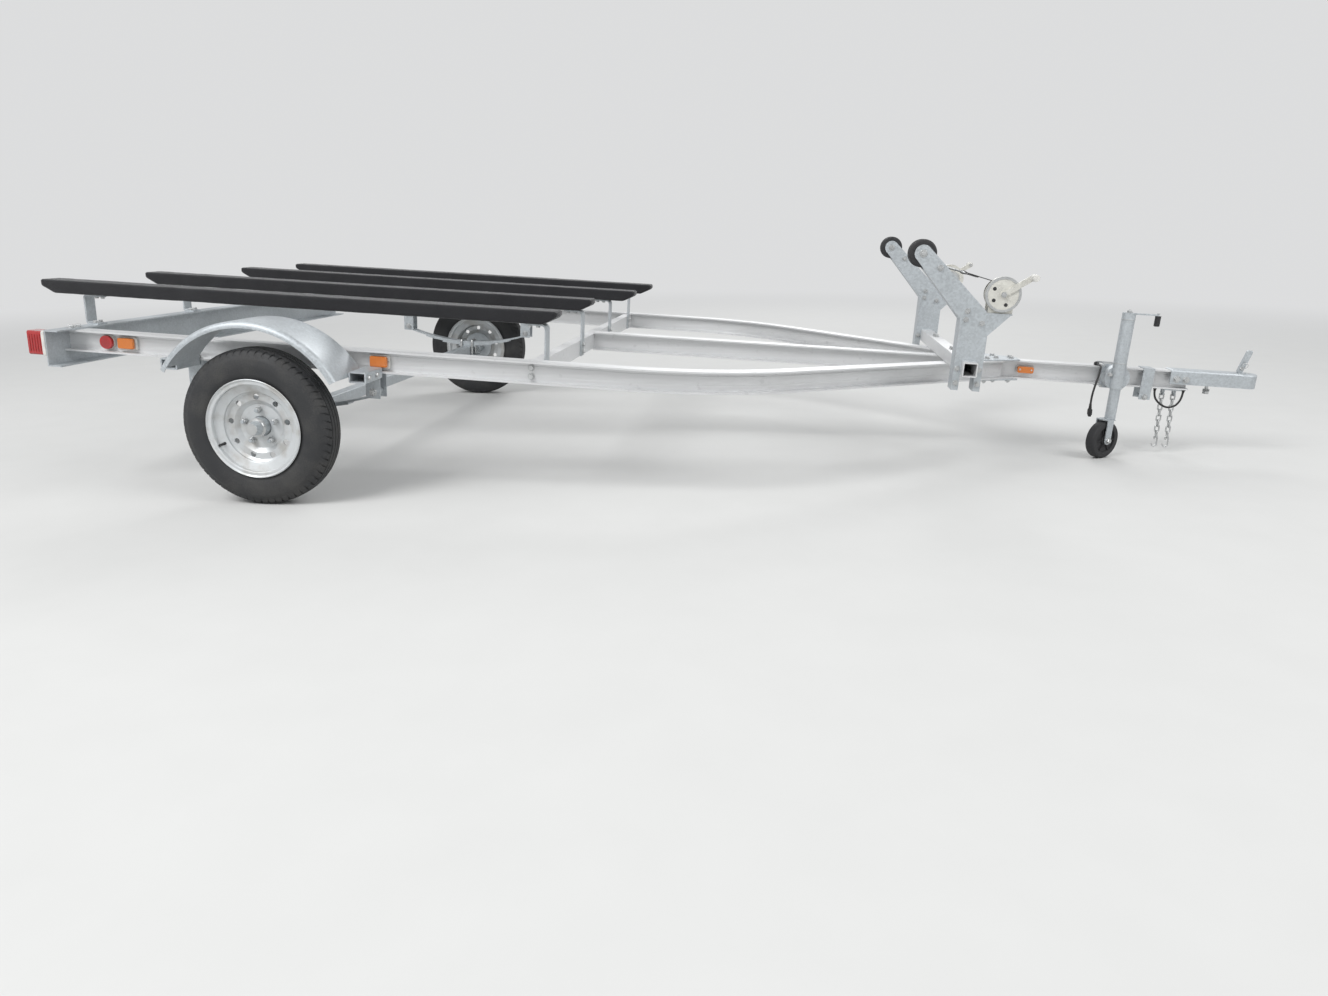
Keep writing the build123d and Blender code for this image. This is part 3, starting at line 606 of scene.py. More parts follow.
def tyre_section():
    """(offset from the wheel's middle, radius, share of the cross groove), in millimetres."""
    half = [(0, TYRE_R, 0)]
    for groove in GROOVES:
        top = TYRE_R - max(0, groove - 24) * 0.4
        half += [(groove - 2.6, top, 0), (groove - 1.9, top - 5, 0), (groove + 1.9, top - 5, 0),
                 (groove + 2.6, top, 0)]
        if groove == GROOVES[0]:
            half += [(18, TYRE_R, 0)]
    half += [(31, 264.2, 1), (40, 260.6, 1), (43.2, 258.6, 1), (46, 254.6, 0.8), (49.5, 246, 0.35)]
    start, middle, end = Vector((49.5, 246)), Vector((60.6, 208)), Vector((50, 162))
    bend = 2 * middle - (start + end) / 2
    for k in range(1, 16):
        t = k / 15
        spot = start * (1 - t) ** 2 + bend * 2 * t * (1 - t) + end * t * t
        ring = 0.8 if k in (2, 3, 11, 12) else 0
        half.append((spot.x + ring, spot.y, 0))
    half += [(50, 154), (36, 153.8), (44, 175), (51, 208), (40, 250), (0, 252)]
    half = [(*p, 0) if len(p) == 2 else p for p in half]
    return half + [(-y, r, dip) for y, r, dip in half[-2:0:-1]]


def tyre(name, middle_y, node, body):
    section = tyre_section()
    rings = []
    for pitch in range(PITCHES):
        for share, deep in ((0, 0), (0.38, 0), (0.76, 0), (0.80, 1), (0.95, 1)):
            ring = []
            for y, r, dip in section:
                slant = 0.35 * (abs(y) - 31) / 18 if dip else 0
                half_pitch = 0.5 if y > 0 else 0
                turn = 2 * pi * (pitch + share + (slant + half_pitch if dip else 0)) / PITCHES
                low = r - 4.2 * dip * deep
                ring.append(Vector((axle.x, middle_y, axle.z))
                            + Vector((low * cos(turn), y, low * sin(turn))) / 1000)
            rings.append(ring)
    piece(name, Shape().loft(rings, closed=True), tyre_rubber, body, (node,), 28)


WHEEL_Y = 1.15
SIDES = (-1, "right"), (1, "left")
for side, label in SIDES:
    tyre(f"tyre_tread_{label}", side * WHEEL_Y, f"tyre_{label}", f"wheel_{label}")
print("tyres", added)

# %% [markdown]
# Five cone nuts hold each wheel on its studs. A valve stem comes through the rim, and a pressed
# lip holds the grease cap in the hub.

# %% Wheel nuts, valves and cap lips
LUG_CIRCLE_R, VALVE_R = 57.15, 137


def wheel_frame(side, outboard, radius=0, turn=0):
    """A frame on the wheel whose Z axis points outboard, away from the trailer."""
    spot = Vector((axle.x + radius * cos(turn) / 1000, side * (WHEEL_Y + outboard / 1000),
                   axle.z + radius * sin(turn) / 1000))
    return Matrix.Translation(spot) @ aimed((0, side, 0))


for side, label in SIDES:
    nuts, stem = Shape(), Shape()
    for k in range(5):
        seat = wheel_frame(side, 5, LUG_CIRCLE_R, radians(90 + 72 * k))
        nuts.turned(seat, [(7.6, 0), (10.4, 4.5), (10.8, 5.4), (9.2, 5.6)], 24)
        nuts.nut(raised(seat, 4.5), 19, 13, 0)
        nuts.turned(raised(seat, 17.4), [(8.2, 0), (7.4, 1.6), (6.2, 2.6)], 24)
    for outboard, lip in (
            (34, [(32.4, -3), (33.6, -1.6), (32.6, 0.4), (28, 0.8), (25.6, 3.4), (24.6, 3.6)]),
            (68, [(20.1, -2.4), (20.4, -1.2), (19.2, 0.5), (15, 1.1), (5, 1.4)])):
        nuts.turned(wheel_frame(side, outboard), lip, 48)
    piece(f"wheel_nuts_{label}", nuts, bright_zinc, f"wheel_{label}")
    valve = wheel_frame(side, 30, VALVE_R, radians(205))
    stem.turned(valve, [(7.5, 0), (7.5, 3), (5.0, 7), (4.2, 24), (3.6, 26)], 20)
    stem.turned(valve, [(4.3, 25), (4.6, 26), (4.6, 33), (4.2, 34.6), (3.0, 35)], 20)
    piece(f"valve_{label}", stem, roller_rubber, f"wheel_{label}")
print("wheel fittings", added["wheel_nuts_right"], "triangles a side")

# %% [markdown]
# A bunk is a plank wrapped in carpet. The wrap is not quite even: it bulges a little between
# staples, its corners are soft, and a seam runs along the underside. Rings of points every six
# millimetres leave room for those bulges and for a pile that stands up a fraction of a
# millimetre. The lower ends are cut at a slant, and the carpet is folded over them.

# %% Carpeted bunks
BUNKS = (("right_outer", -850, -975), ("right_inner", -270, -975), ("left_inner", 330, -900),
         ("left_outer", 850, -900))
BUNK_LEN, BUNK_W, BUNK_TOP, BUNK_H, BEVEL, SOFT = 1925, 100, 687, 48, 24, 9
RING_PLACES = [0, 1.5, 4, *range(8, BUNK_LEN - 8, 6), BUNK_LEN - 4, BUNK_LEN - 1.5, BUNK_LEN]


def bunk_ring(along, y, rear):
    """One ring round a bunk at a distance from its rear end. The first and last are drawn in."""
    from_end = min(along, BUNK_LEN - along)
    inset = max(0, 5 - from_end * 1.6)
    low = BUNK_TOP - BUNK_H + max(0, BEVEL * (1 - from_end / 48))
    half = BUNK_W / 2 - inset
    left, top, bottom = half - SOFT, BUNK_TOP - inset - SOFT, low + inset + SOFT
    arcs = [[Vector((cy + SOFT * cos(a), cz + SOFT * sin(a)))
             for a in (radians(start + 22.5 * k) for k in range(5))]
            for cy, cz, start in ((left, top, 0), (-left, top, 90), (-left, bottom, 180),
                                  (left, bottom, 270))]
    ring = []
    for index, arc in enumerate(arcs):
        gaps = 5 if index % 2 else 12
        ring += arc + [arc[-1].lerp(arcs[(index + 1) % 4][0], k / gaps) for k in range(1, gaps)]
    shaped = []
    for py, pz in ring:
        spot = Vector((rear + along, y + py, pz))
        outward = Vector((0, py / half, (pz - (BUNK_TOP + low) / 2) / (BUNK_H / 2)))
        swell = (noise.noise(spot * 0.022) * 0.9 + noise.noise(spot * 0.16) * 0.35
                 + noise.noise(spot * 0.6) * 0.25)
        if pz < low + 2 and abs(py) < 3:
            swell -= 2.2
        shaped.append(at(*(spot + outward.normalized() * (swell - 0.4))))
    return shaped


staples = Shape()
for label, y, rear in BUNKS:
    wrap = Shape().loft([bunk_ring(s, y, rear) for s in RING_PLACES])
    for end, out in ((rear, BACK), (rear + BUNK_LEN, AHEAD)):
        cap = facing(end, y, BUNK_TOP - 12, out)
        for flap in (-1, 1):
            fold = [(flap * 44, 8), (flap * 44, -8), (flap * 10, -5), (-flap * 4, 3), (flap * 8, 8)]
            wrap.plate(cap, fold, -1.5, 1.6 + 0.5 * (flap > 0), 0.9)
    piece(f"carpet_{label}", wrap, bunk_carpet, stands_for=(f"bunk_{label}",), sharp=60)
    for k in range(25):
        for offset in (-16, 16):
            x = rear + 70 + k * 74
            spots = [at(x + dx, y + offset + (3 if k % 2 else -2), BUNK_TOP - BUNK_H - dz)
                     for dx, dz in ((-6, -1), (-6, 0.8), (6, 0.8), (6, -1))]
            staples.tube(spots, 0.0006, 6)
piece("bunk_staples", staples, bright_zinc)
print("bunks", {name: added[name] for name in added if "carpet" in name})

# %% [markdown]
# Webbing is flat, so a strap is a ribbon swept along its line: three turns wound on the drum, a
# straight pull, a loop round the bar of a hook and a return that is sewn down. Rows of short
# thread stitches lie in small hollows on both faces. The hook holds a pin between the cheeks.

# %% Winch straps
STAND_Y, CHEEK = 560, 38.1
STRAP_W, STRAP_T = 46, 3
DRUM, DRUM_R, WOUND_R, TURNS = Vector((2478, 816)), 22, 32, 3
LEAN = radians(166.2)
PULL = Vector((cos(LEAN), sin(LEAN)))
LIFT = Vector((PULL.y, -PULL.x))
EYE_AT, HOOK_AT, HOOK_R, PIN_R = 152, 236, 4.4, 5
CURL_R = HOOK_R + PIN_R + 0.2


def pulled(along, lift):
    """A point in the plane of the stand: along the strap's pull and above its lower face."""
    return DRUM + PULL * along + LIFT * (WOUND_R + lift)


def strap_line():
    """The strap's middle line in the plane of the stand, from the drum on."""
    line = []
    steps = 36 * TURNS
    for k in range(steps):
        share = k / steps
        a = atan2(LIFT.y, LIFT.x) - 2 * pi * TURNS * (1 - share)
        radius = DRUM_R + STRAP_T / 2 + (WOUND_R - DRUM_R) * share
        line.append(DRUM + Vector((cos(a), sin(a))) * radius)
    line += [pulled(s, STRAP_T / 2) for s in range(0, EYE_AT - 20, 12)]
    line += [pulled(EYE_AT - 12, 1.9), pulled(EYE_AT - 6, 3.6)]
    line += [pulled(EYE_AT + 4.8 * cos(a), 4.8 * sin(a))
             for a in (pi / 2 - pi * k / 8 for k in range(9))]
    sewn = (7, 3.9), (14, 2.2), (24, 1.65), (34, 1.62), (44, 1.62), (53, 1.62)
    return line + [pulled(EYE_AT - back, -drop) for back, drop in sewn]


def ribbon(shape, line, y):
    """A flat band along a line, with the faint ribs of its yarns and thinner edges."""
    rings = []
    for i, spot in enumerate(line):
        ahead = (line[min(i + 1, len(line) - 1)] - line[max(i - 1, 0)]).normalized()
        up = Vector((-ahead.y, ahead.x))
        ring = []
        for face in (1, -1):
            for k in range(13):
                thick = 0.55 if k in (0, 12) else 1.42 + 0.07 * (k % 2)
                edge = spot + up * thick * face
                ring.append(at(edge.x, y + (k / 12 - 0.5) * STRAP_W * face, edge.y))
        rings.append(ring)
    shape.loft(rings)


def on_strap(y, along, lift, offset=0):
    """A point by the strap: along its pull, above its lower face, and beside its middle."""
    flat = pulled(along, lift)
    return at(flat.x, y + offset, flat.y)


def stitches(shape, y):
    """A sewn box with a cross, on the upper face and on the return below it."""
    first, second, third, fourth = (Vector((EYE_AT - back, across))
                                    for across in (-17, 17) for back in (48, 20))
    for start, end in ((first, second), (third, fourth), (first, third), (second, fourth),
                       (first, fourth), (third, second)):
        count = ceil((end - start).length / 4.2)
        for k in range(count):
            a, b = start.lerp(end, (k + 0.15) / count), start.lerp(end, (k + 0.85) / count)
            for lift, rise in ((3.05, 0.25), (-3.2, -0.25)):
                high, low = lift + rise, lift - 1.4 * rise
                shape.tube([on_strap(y, spot.x, h, spot.y) for spot, h in
                            ((a, low), (a.lerp(b, 0.25), high), (a.lerp(b, 0.75), high), (b, low))],
                           0.00042, 5)


def strap_hook(shape, y):
    """A bent triangle through the strap's loop, and a hook from its point round the keeper pin."""
    eye = ((0, -27), (0, 27), (8, 28), (27, 8), (29, 0), (27, -8), (8, -28))
    shape.tube([on_strap(y, EYE_AT + u, 0, v) for u, v in eye], 0.0031, 10, closed=True)
    curl = [on_strap(y, HOOK_AT + CURL_R * sin(a), CURL_R * (cos(a) - 1))
            for a in (radians(215) * k / 16 for k in range(17))]
    shape.tube([on_strap(y, EYE_AT + 26, 0), on_strap(y, HOOK_AT - 12, 0)] + curl,
               HOOK_R / 1000, 12)
    keeper = pulled(HOOK_AT, -CURL_R)
    shape.turned(facing(keeper.x, y - 38, keeper.y, LEFT), [(PIN_R, 0), (PIN_R, 76)], 20)
    for reach in (-1, 1):
        shape.nut(facing(keeper.x, y + reach * CHEEK, keeper.y, (0, reach, 0)), 15, 6, 22, 2)


straps, thread, hooks = Shape(), Shape(), Shape()
for side in (-1, 1):
    ribbon(straps, strap_line(), side * STAND_Y)
    stitches(thread, side * STAND_Y)
    strap_hook(hooks, side * STAND_Y)
piece("strap_webbing", straps, strap_webbing, sharp=50)
piece("strap_stitching", thread, moulded("thread", (0.42, 0.42, 0.40)))
piece("strap_hooks", hooks, bright_zinc)
print("straps", added["strap_webbing"], "stitches", added["strap_stitching"])

# %% [markdown]
# A chain link is a round bar bent to a long loop, each turned a quarter against the last. The
# chains hang plumb while the trailer is tipped, so they are drawn from their rods straight down.
# A bent hook hangs on each last link. The rods are bent round bars below a plate on the tongue.

# %% Safety chains
RODS = ((3300, 14, 419.7), (3344, 14, 419.7))
LINK_WIRE, LINK_HALF, LINK_H, LINK_STEP, LINKS, FIRST_DROP = 0.003, 8, 14.5, 22.7, 8, 7.2
HOOK_LINE = ((-3.0, -7.6), (-6.4, -2.5), (-4.9, 4.4), (0, 6.3), (5.2, 4.2), (6.6, -2), (6.4, -14),
             (6.3, -27), (3, -35), (-3.8, -38), (-10.4, -35.4), (-13.7, -30), (-14.6, -24))
BAND_X, BAND_PIN_Z = 3216, 410


def link_loop(centre, quarter):
    bar = []
    for spread, rise in circle(LINK_HALF, 28):
        rise += (LINK_H - LINK_HALF) * (1 if rise >= 0 else -1)
        bar.append(centre + Vector((0, spread, rise) if quarter else (spread, 0, rise)) / 1000)
    return bar


chains, anchor = Shape(), Shape()
for x, y, z in RODS:
    hang = at(x, y, z)
    for row in range(LINKS):
        centre = hang - Vector((0, 0, (FIRST_DROP + row * LINK_STEP) / 1000))
        chains.tube(link_loop(centre, row % 2), LINK_WIRE, 10, closed=True)
    last = centre - Vector((0, 0, LINK_H / 1000))
    bar = curve_through([last + Vector((u, 0, v)) / 1000 for u, v in HOOK_LINE], 4)
    point = len(bar) - 8
    chains.tube(bar, [LINK_WIRE * (1 - 0.07 * max(0, k - point)) for k in range(len(bar))], 10)
    half_rod = ((12, 444), (12, z + 8), (9.7, z + 2.3), (4, z))
    rod = [(y - reach, height) for reach, height in half_rod]
    rod += [(y + reach, height) for reach, height in half_rod[::-1]]
    anchor.tube([at(x, *spot) for spot in rod], 0.004, 12)
piece("chain_links", chains, bright_zinc, sharp=50)

anchor.plate(level(3322, 0, 443.7), rounded(36, 30, 4), 0, 5, 0.8)
band = ((-35.3, 400), (-32.3, 400), (-32.3, 525.3), (32.3, 525.3), (32.3, 400), (35.3, 400),
        (35.3, 528.3), (-35.3, 528.3))
anchor.plate(section_at(BAND_X), band, -22, 22, 0.4)
anchor.tube([at(BAND_X, -35, BAND_PIN_Z), at(BAND_X, 35, BAND_PIN_Z)], 0.005, 14)
piece("chain_anchor", anchor, hot_dip)
print("chains", added["chain_links"], "anchor", added["chain_anchor"], "triangles")

# %% [markdown]
# Bolts hold the trailer together, and each kind sits where its joint needs it. A hexagon head on
# a washer is one call, so the lists below are mostly places and directions.

# %% Frame bolts and plates
frame_bolts, frame_plates = Shape(), Shape()
RAIL_Y = 968
JOINT = ((2500, -150), (2704, -38), (2704, 38), (2500, 150))
U_BOLT = ((-29.5, 222), (-29.5, 311.5), (-26, 320), (-17.5, 323.5), (17.5, 323.5), (26, 320),
          (29.5, 311.5), (29.5, 222))
for side in (-1, 1):
    rail, out, inward = side * RAIL_Y, (0, side, 0), (0, -side, 0)
    frame_bolts.nuts([(-804, rail + dy, 530.2) for dy in (-17, 17)], UP, 17, 8)
    frame_bolts.nuts([(889, rail + side * 4.1, z) for z in (472, 502)], out, 17, 8, 24)
    frame_bolts.nuts([(x, rail + side * 28.6, 380.5) for x in (-330, 330)], out, 19, 9, 28)
    frame_bolts.nuts([(x, rail - side * 28.6, 380.5) for x in (-330, 330)], inward, 19, 11, 28, 4)
    frame_bolts.nuts([(x, rail + side * 19, 455) for x in (-344, -316, 316, 344)], UP, 13, 7, 22, 3)
    frame_plates.plate(level(0, rail, 236), rounded(55, 45, 5), 0.2, 8.2, 1)
    for x in (-29.5, 29.5):
        frame_bolts.tube([at(x, rail + dy, z) for dy, z in U_BOLT], 0.006, 14)
        frame_bolts.nuts([(x, rail + dy, 236.1) for dy in (-29.5, 29.5)], DOWN, 19, 9, 0)
    for end in (-1, 1):
        frame_bolts.nuts([(end * 367.3, side * y, 451) for y in (1046, 1108)], (end, 0, 0),
                         13, 6, 20)
    frame_bolts.nuts([(2395, side * 231 + dy, 576.1) for dy in (-15, 15)], UP, 17, 8, 26)
for label, y, rear in BUNKS:
    frame_bolts.nuts([(-801, y + dy, 536.1) for dy in (-14, 14)], UP, 13, 7, 20)
    frame_bolts.nuts([(x, y, 632.6) for x in (-795, -771, 878, 850)], DOWN, 13, 6, 22)
    frame_bolts.nuts([(914.1, y, z) for z in (473, 501)], AHEAD, 15, 7, 24)
for z in (525.2, 443.8):
    frame_plates.plate(level(0, 0, z), JOINT, 0, 5, 0.8)
for x, y in ((2562, 84), (2606, 40), (2672, 16)):
    frame_bolts.nuts([(x, y, 530.3), (x, -y, 530.3)], UP, 15, 7, 24)
    frame_bolts.nuts([(x, y, 443.7), (x, -y, 443.7)], DOWN, 15, 9, 24, 4)
piece("frame_bolts", frame_bolts, bright_zinc)
piece("frame_plates", frame_plates, hot_dip)
print("frame bolts", added["frame_bolts"], "triangles")

# %% [markdown]
# The folded stands are welded on their bar and bolted at the knee. A weld bead is a tube
# whose girth swells every few millimetres, like a row of coins pushed over.

# %% Stand bolts and welds
ROLLER_X, ROLLER_Z = 2190, 940
STAND_HOLES = ((2366, 752), (2364, 722), (2421, 712), (2357, 548), (2357, 496), (2433, 548),
               (2433, 496))


def weld(shape, start, end, girth=0.0026, pitch=4.0):
    start, end = Vector(start), Vector(end)
    beads = (end - start).length / pitch
    steps = max(2, int(beads * 4))
    shape.tube([at(*start.lerp(end, k / steps)) for k in range(steps + 1)],
               [girth * (1 + 0.16 * sin(2 * pi * beads * k / steps)) for k in range(steps + 1)], 8)


stand_bolts, welds, roller_ribs = Shape(), Shape(), {}
for side, label in SIDES:
    stand, roller_ribs[label] = side * STAND_Y, Shape()
    for reach in (-1, 1):
        cheek, out = stand + reach * CHEEK, (0, reach, 0)
        sizes = (13, 6, 20) if reach == side else (13, 8, 20, 3)
        stand_bolts.nuts([(x, cheek, z) for x, z in STAND_HOLES], out, *sizes)
        pin = facing(ROLLER_X, cheek, ROLLER_Z, out)
        stand_bolts.turned(pin, [(12.8, 0), (13.4, 0.5), (13.4, 1.8), (12.8, 2.3)], 28)
        stand_bolts.turned(pin, [(7, 0), (7, 8), (6, 9)], 24)
        stand_bolts.tube([at(ROLLER_X, stand + reach * 43.4, ROLLER_Z + dz) for dz in (-14, 16)],
                         0.0013, 8)
        bead = stand + reach * 38.8
        weld(welds, (2371, bead, 577.2), (2419, bead, 577.2))
        for x in (2368.6, 2421.4):
            weld(welds, (x, bead, 528), (x, bead, 575))
    for offset in (-19, 0, 19):
        roller_ribs[label].turned(facing(ROLLER_X, stand + offset, ROLLER_Z, LEFT),
                                  [(47.6, -2.5), (48.7, -1.2), (48.7, 1.2), (47.6, 2.5)], 64)
piece("stand_bolts", stand_bolts, bright_zinc)
piece("stand_welds", welds, hot_dip, sharp=80)
for label, ribs in roller_ribs.items():
    piece(f"roller_ribs_{label}", ribs, roller_rubber, f"bow_roller_{label}")
print("stand bolts", added["stand_bolts"], "welds", added["stand_welds"])

# %% [markdown]
# A hand winch shows dark plugs in its gear cover, a nut on the crank's shaft, a toothed ratchet
# wheel with its pawl on the other cheek, and a pale turning grip on the crank.

# %% Winch fittings
COVER_Y, COVER_PLUGS, RATCHET_Y, TEETH = 605, (150, 215, 290), 531, 22
KNOB = DRUM + Vector((cos(radians(35)), sin(radians(35)))) * 110


def grip(head, ribs, first, high, low, foot):
    """The profile of a grip with grooves every five millimetres."""
    for k in range(ribs):
        start = first + 5 * k
        head = head + [(high, start), (low, start + 1), (low, start + 2), (high, start + 3)]
    return head + foot


winch_metal, plugs, grips = Shape(), Shape(), Shape()
for side in (-1, 1):
    out, inward = (0, side, 0), (0, -side, 0)
    for turn in COVER_PLUGS:
        spot = DRUM + Vector((cos(radians(turn)), sin(radians(turn)))) * 37
        plugs.turned(facing(spot.x, side * COVER_Y, spot.y, out),
                     [(6.4, -0.5), (6.4, 0.9), (5.2, 1.6), (2, 1.9)], 24)
    cover = facing(DRUM.x, side * COVER_Y, DRUM.y, out)
    lip = (61, -2.4), (61.6, -1.0), (60.4, 0.9), (57, 1.3), (52.4, 1.0), (52, -0.4)
    winch_metal.loft([ring_on(cover, circle(r, 72), h) for r, h in lip], closed=True)
    winch_metal.nut(raised(cover, 6.1), 19, 7, 0, 3)
    hub = facing(DRUM.x, side * RATCHET_Y, DRUM.y, inward)
    teeth = [(r * cos(turn + 2 * pi * share / TEETH), r * sin(turn + 2 * pi * share / TEETH))
             for turn in turns(TEETH)
             for share, r in ((0, 31.5), (0.55, 36.5), (0.62, 36.5), (0.70, 31.5))]
    winch_metal.plate(hub, teeth, 0.2, 4.6, 0.4)
    winch_metal.nut(raised(hub, 4.6), 17, 6, 24, 3)
    pawl = facing(DRUM.x - 16, side * RATCHET_Y, DRUM.y - 48, inward)
    winch_metal.plate(pawl, [(-6, -6), (6, -6), (7, 4), (3, 13), (-2, 14), (-6, 5)], 0.2, 5, 0.6)
    winch_metal.nut(raised(pawl, 5), 11, 5, 0)
    winch_metal.nuts([(x, side * STAND_Y + dy, 754.4) for x in (2448, 2508) for dy in (-14, 14)],
                     UP, 13, 6, 20)
    grips.turned(facing(KNOB.x, side * 611, KNOB.y, out),
                 grip([(8, 0), (11.6, 0.3), (12.0, 1.5)], 8, 5, 12.0, 11.3,
                      [(11.4, 45.6), (8.5, 47), (3.4, 47.4)]))
    winch_metal.nut(facing(KNOB.x, side * COVER_Y, KNOB.y, inward), 13, 5, 0)
piece("winch_metalwork", winch_metal, bright_zinc)
piece("winch_plugs", plugs, roller_rubber)
piece("winch_grips", grips, pale_plastic)
print("winch fittings", added["winch_metalwork"], "triangles")

# %% [markdown]
# The jack's bracket is clamped on the tongue by four long bolts with flat bars behind it. The
# crank's knob has a ribbed black grip, and a spring pin locks the swivel.

# %% Jack fittings
JACK_X, JACK_Y, PIVOT_Z, CRANK_Z, CRANK_LEN = 3078, -92, 487, 742, 110
clamp, jack_metal, jack_grip = Shape(), Shape(), Shape()
corners = [(JACK_X + dx, PIVOT_Z + dz) for dx in (-42, 42) for dz in (-42, 42)]
clamp.nuts([(x, -38.1, z) for x, z in corners], RIGHT, 10, 5, 0)
clamp.nuts([(x, 37.6, z) for x, z in corners], LEFT, 10, 6, 0)
for x, z in corners:
    clamp.tube([at(x, -38, z), at(x, 46, z)], 0.003, 12)
for dz in (-42, 42):
    clamp.plate(facing(JACK_X, 32.6, PIVOT_Z + dz, LEFT), rounded(50, 8, 2), 0, 5, 0.8)
piece("jack_clamp", clamp, bright_zinc)

jack_metal.turned(facing(JACK_X - 33, JACK_Y, PIVOT_Z + 14, RIGHT),
                  [(8, -0.4), (8, 3), (6, 3.6), (6, 12), (4.2, 12.6), (4.2, 16), (6.6, 16.6),
                   (6.6, 19), (3, 20)], 24)
jack_metal.nut(facing(JACK_X, JACK_Y, CRANK_Z + 6.1, UP), 17, 7, 26, 3)
for z in (548, 722):
    jack_metal.tube([at(JACK_X + dx, JACK_Y + dy, z) for dx, dy in circle(25.6, 36)],
                    0.0014, 8, closed=True)
jack_metal.nut(facing(JACK_X + CRANK_LEN, JACK_Y, CRANK_Z + 6.1, UP), 10, 4, 0)
piece("jack_metalwork", jack_metal, bright_zinc, "jack")
jack_grip.turned(facing(JACK_X + CRANK_LEN, JACK_Y, CRANK_Z, DOWN),
                 grip([(10.3, 0.2), (11.0, 0.6), (11.2, 1.5)], 7, 4, 11.2, 10.4,
                      [(11.0, 39), (8.5, 41), (3.4, 41.6)]))
piece("jack_grip", jack_grip, roller_rubber, "jack")
print("jack fittings", added["jack_clamp"], added["jack_metalwork"])

# %% [markdown]
# The caster wheel is moulded in one piece: a rounded tread, a thinner web with six ribs on each
# side, and a hub on the bolt of the fork.

# %% Caster fittings
fork_joint = next(j for j in frame["joints"] if j["name"] == "caster_roll")
roll_at, roll_axis = Vector(fork_joint["pos_m"]), Vector(fork_joint["axis"]).normalized()
rolling = Matrix.Translation(roll_at) @ aimed(roll_axis)
caster_bolt, caster = Shape(), Shape()
half_tread = [(6.2, 20), (18.6, 20), (20, 19), (21, 13.4), (50.5, 13), (52.4, 19.2), (53.4, 20),
              (68, 20)]
half_tread += [(68 + 8 * sin(a), 12 + 8 * cos(a)) for a in (radians(18 * k) for k in range(1, 6))]
caster.turned(rolling, [(r, -h) for r, h in half_tread] + half_tread[::-1], 72)
for reach in (-1, 1):
    outward = Matrix.Translation(roll_at) @ aimed(roll_axis * reach)
    caster_bolt.nut(raised(outward, 29), 19, 8, 26)
    for k in range(6):
        spoke = raised(outward, 13) @ Matrix.Rotation(pi * k / 3, 4, "Z")
        caster.plate(spoke, [(19, -2), (51, -1.6), (51, 1.6), (19, 2)], -0.4, 5.5, 0.6)
piece("caster_bolt", caster_bolt, bright_zinc, "caster_fork")
piece("caster_tread", caster, roller_rubber, "caster_wheel", ("caster_wheel",))
print("caster fittings", added["caster_bolt"], added["caster_tread"])

# %% [markdown]
# The coupler is bolted through the end of the tongue. Below it sits the nut of the ball clamp on
# its spring washers, and a pin on a ring keeps the latch down.

# %% Coupler fittings
hitch = Shape()
for side in (-1, 1):
    out = (0, side, 0)
    hitch.nuts([(x, side * 39.1, 492) for x in (3325, 3361)], out, 19, 9, 28, 3 if side > 0 else 0)
    hitch.nut(facing(BAND_X, side * 35.4, BAND_PIN_Z, out), 17, 8, 24, 3)
    hitch.nut(facing(3576, side * 6.1, 547, out), 11, 4, 16)
clamp_nut = facing(3461, 0, 472, DOWN)
hitch.turned(clamp_nut, [(7, 0), (7, 30), (6, 32)], 20)
for height in (15.5, 18.5, 21.5):
    hitch.turned(raised(clamp_nut, height), [(9, 0), (13.5, 0.8), (13.5, 2.0), (9, 2.8)], 28)
hitch.nut(raised(clamp_nut, 24.5), 22, 11, 0)
hitch.tube([at(3583, y, 572) for y in (-16, -8, 8, 15)], 0.0028, 10)
hitch.tube([at(3583 + dx, -17.5, 562 + dz) for dx, dz in circle(10, 24)], 0.0011, 8, closed=True)
hitch.turned(facing(3604, 0, 530.2, UP), [(9, 0), (9, 1.2), (6, 2.2)], 28)
piece("coupler_fittings", hitch, bright_zinc)
print("coupler fittings", added["coupler_fittings"])

# %% [markdown]
# Each tail lamp has a pale housing behind it, a raised frame round its lens, upright flutes and
# two screws. The rails carry a round red reflector and two amber lamps on each side.

# %% Lamp details
LAMP_Y, LAMP_Z, LAMP_BACK, MARKER_Z = 1055, 483, -896, 487
housings, flutes, screws, reds, ambers = (Shape() for _ in range(5))


def screw(*place):
    screws.turned(facing(*place), [(3.4, -0.5), (3.4, 0.6), (2.5, 1.2), (0.8, 1.4)], 16)


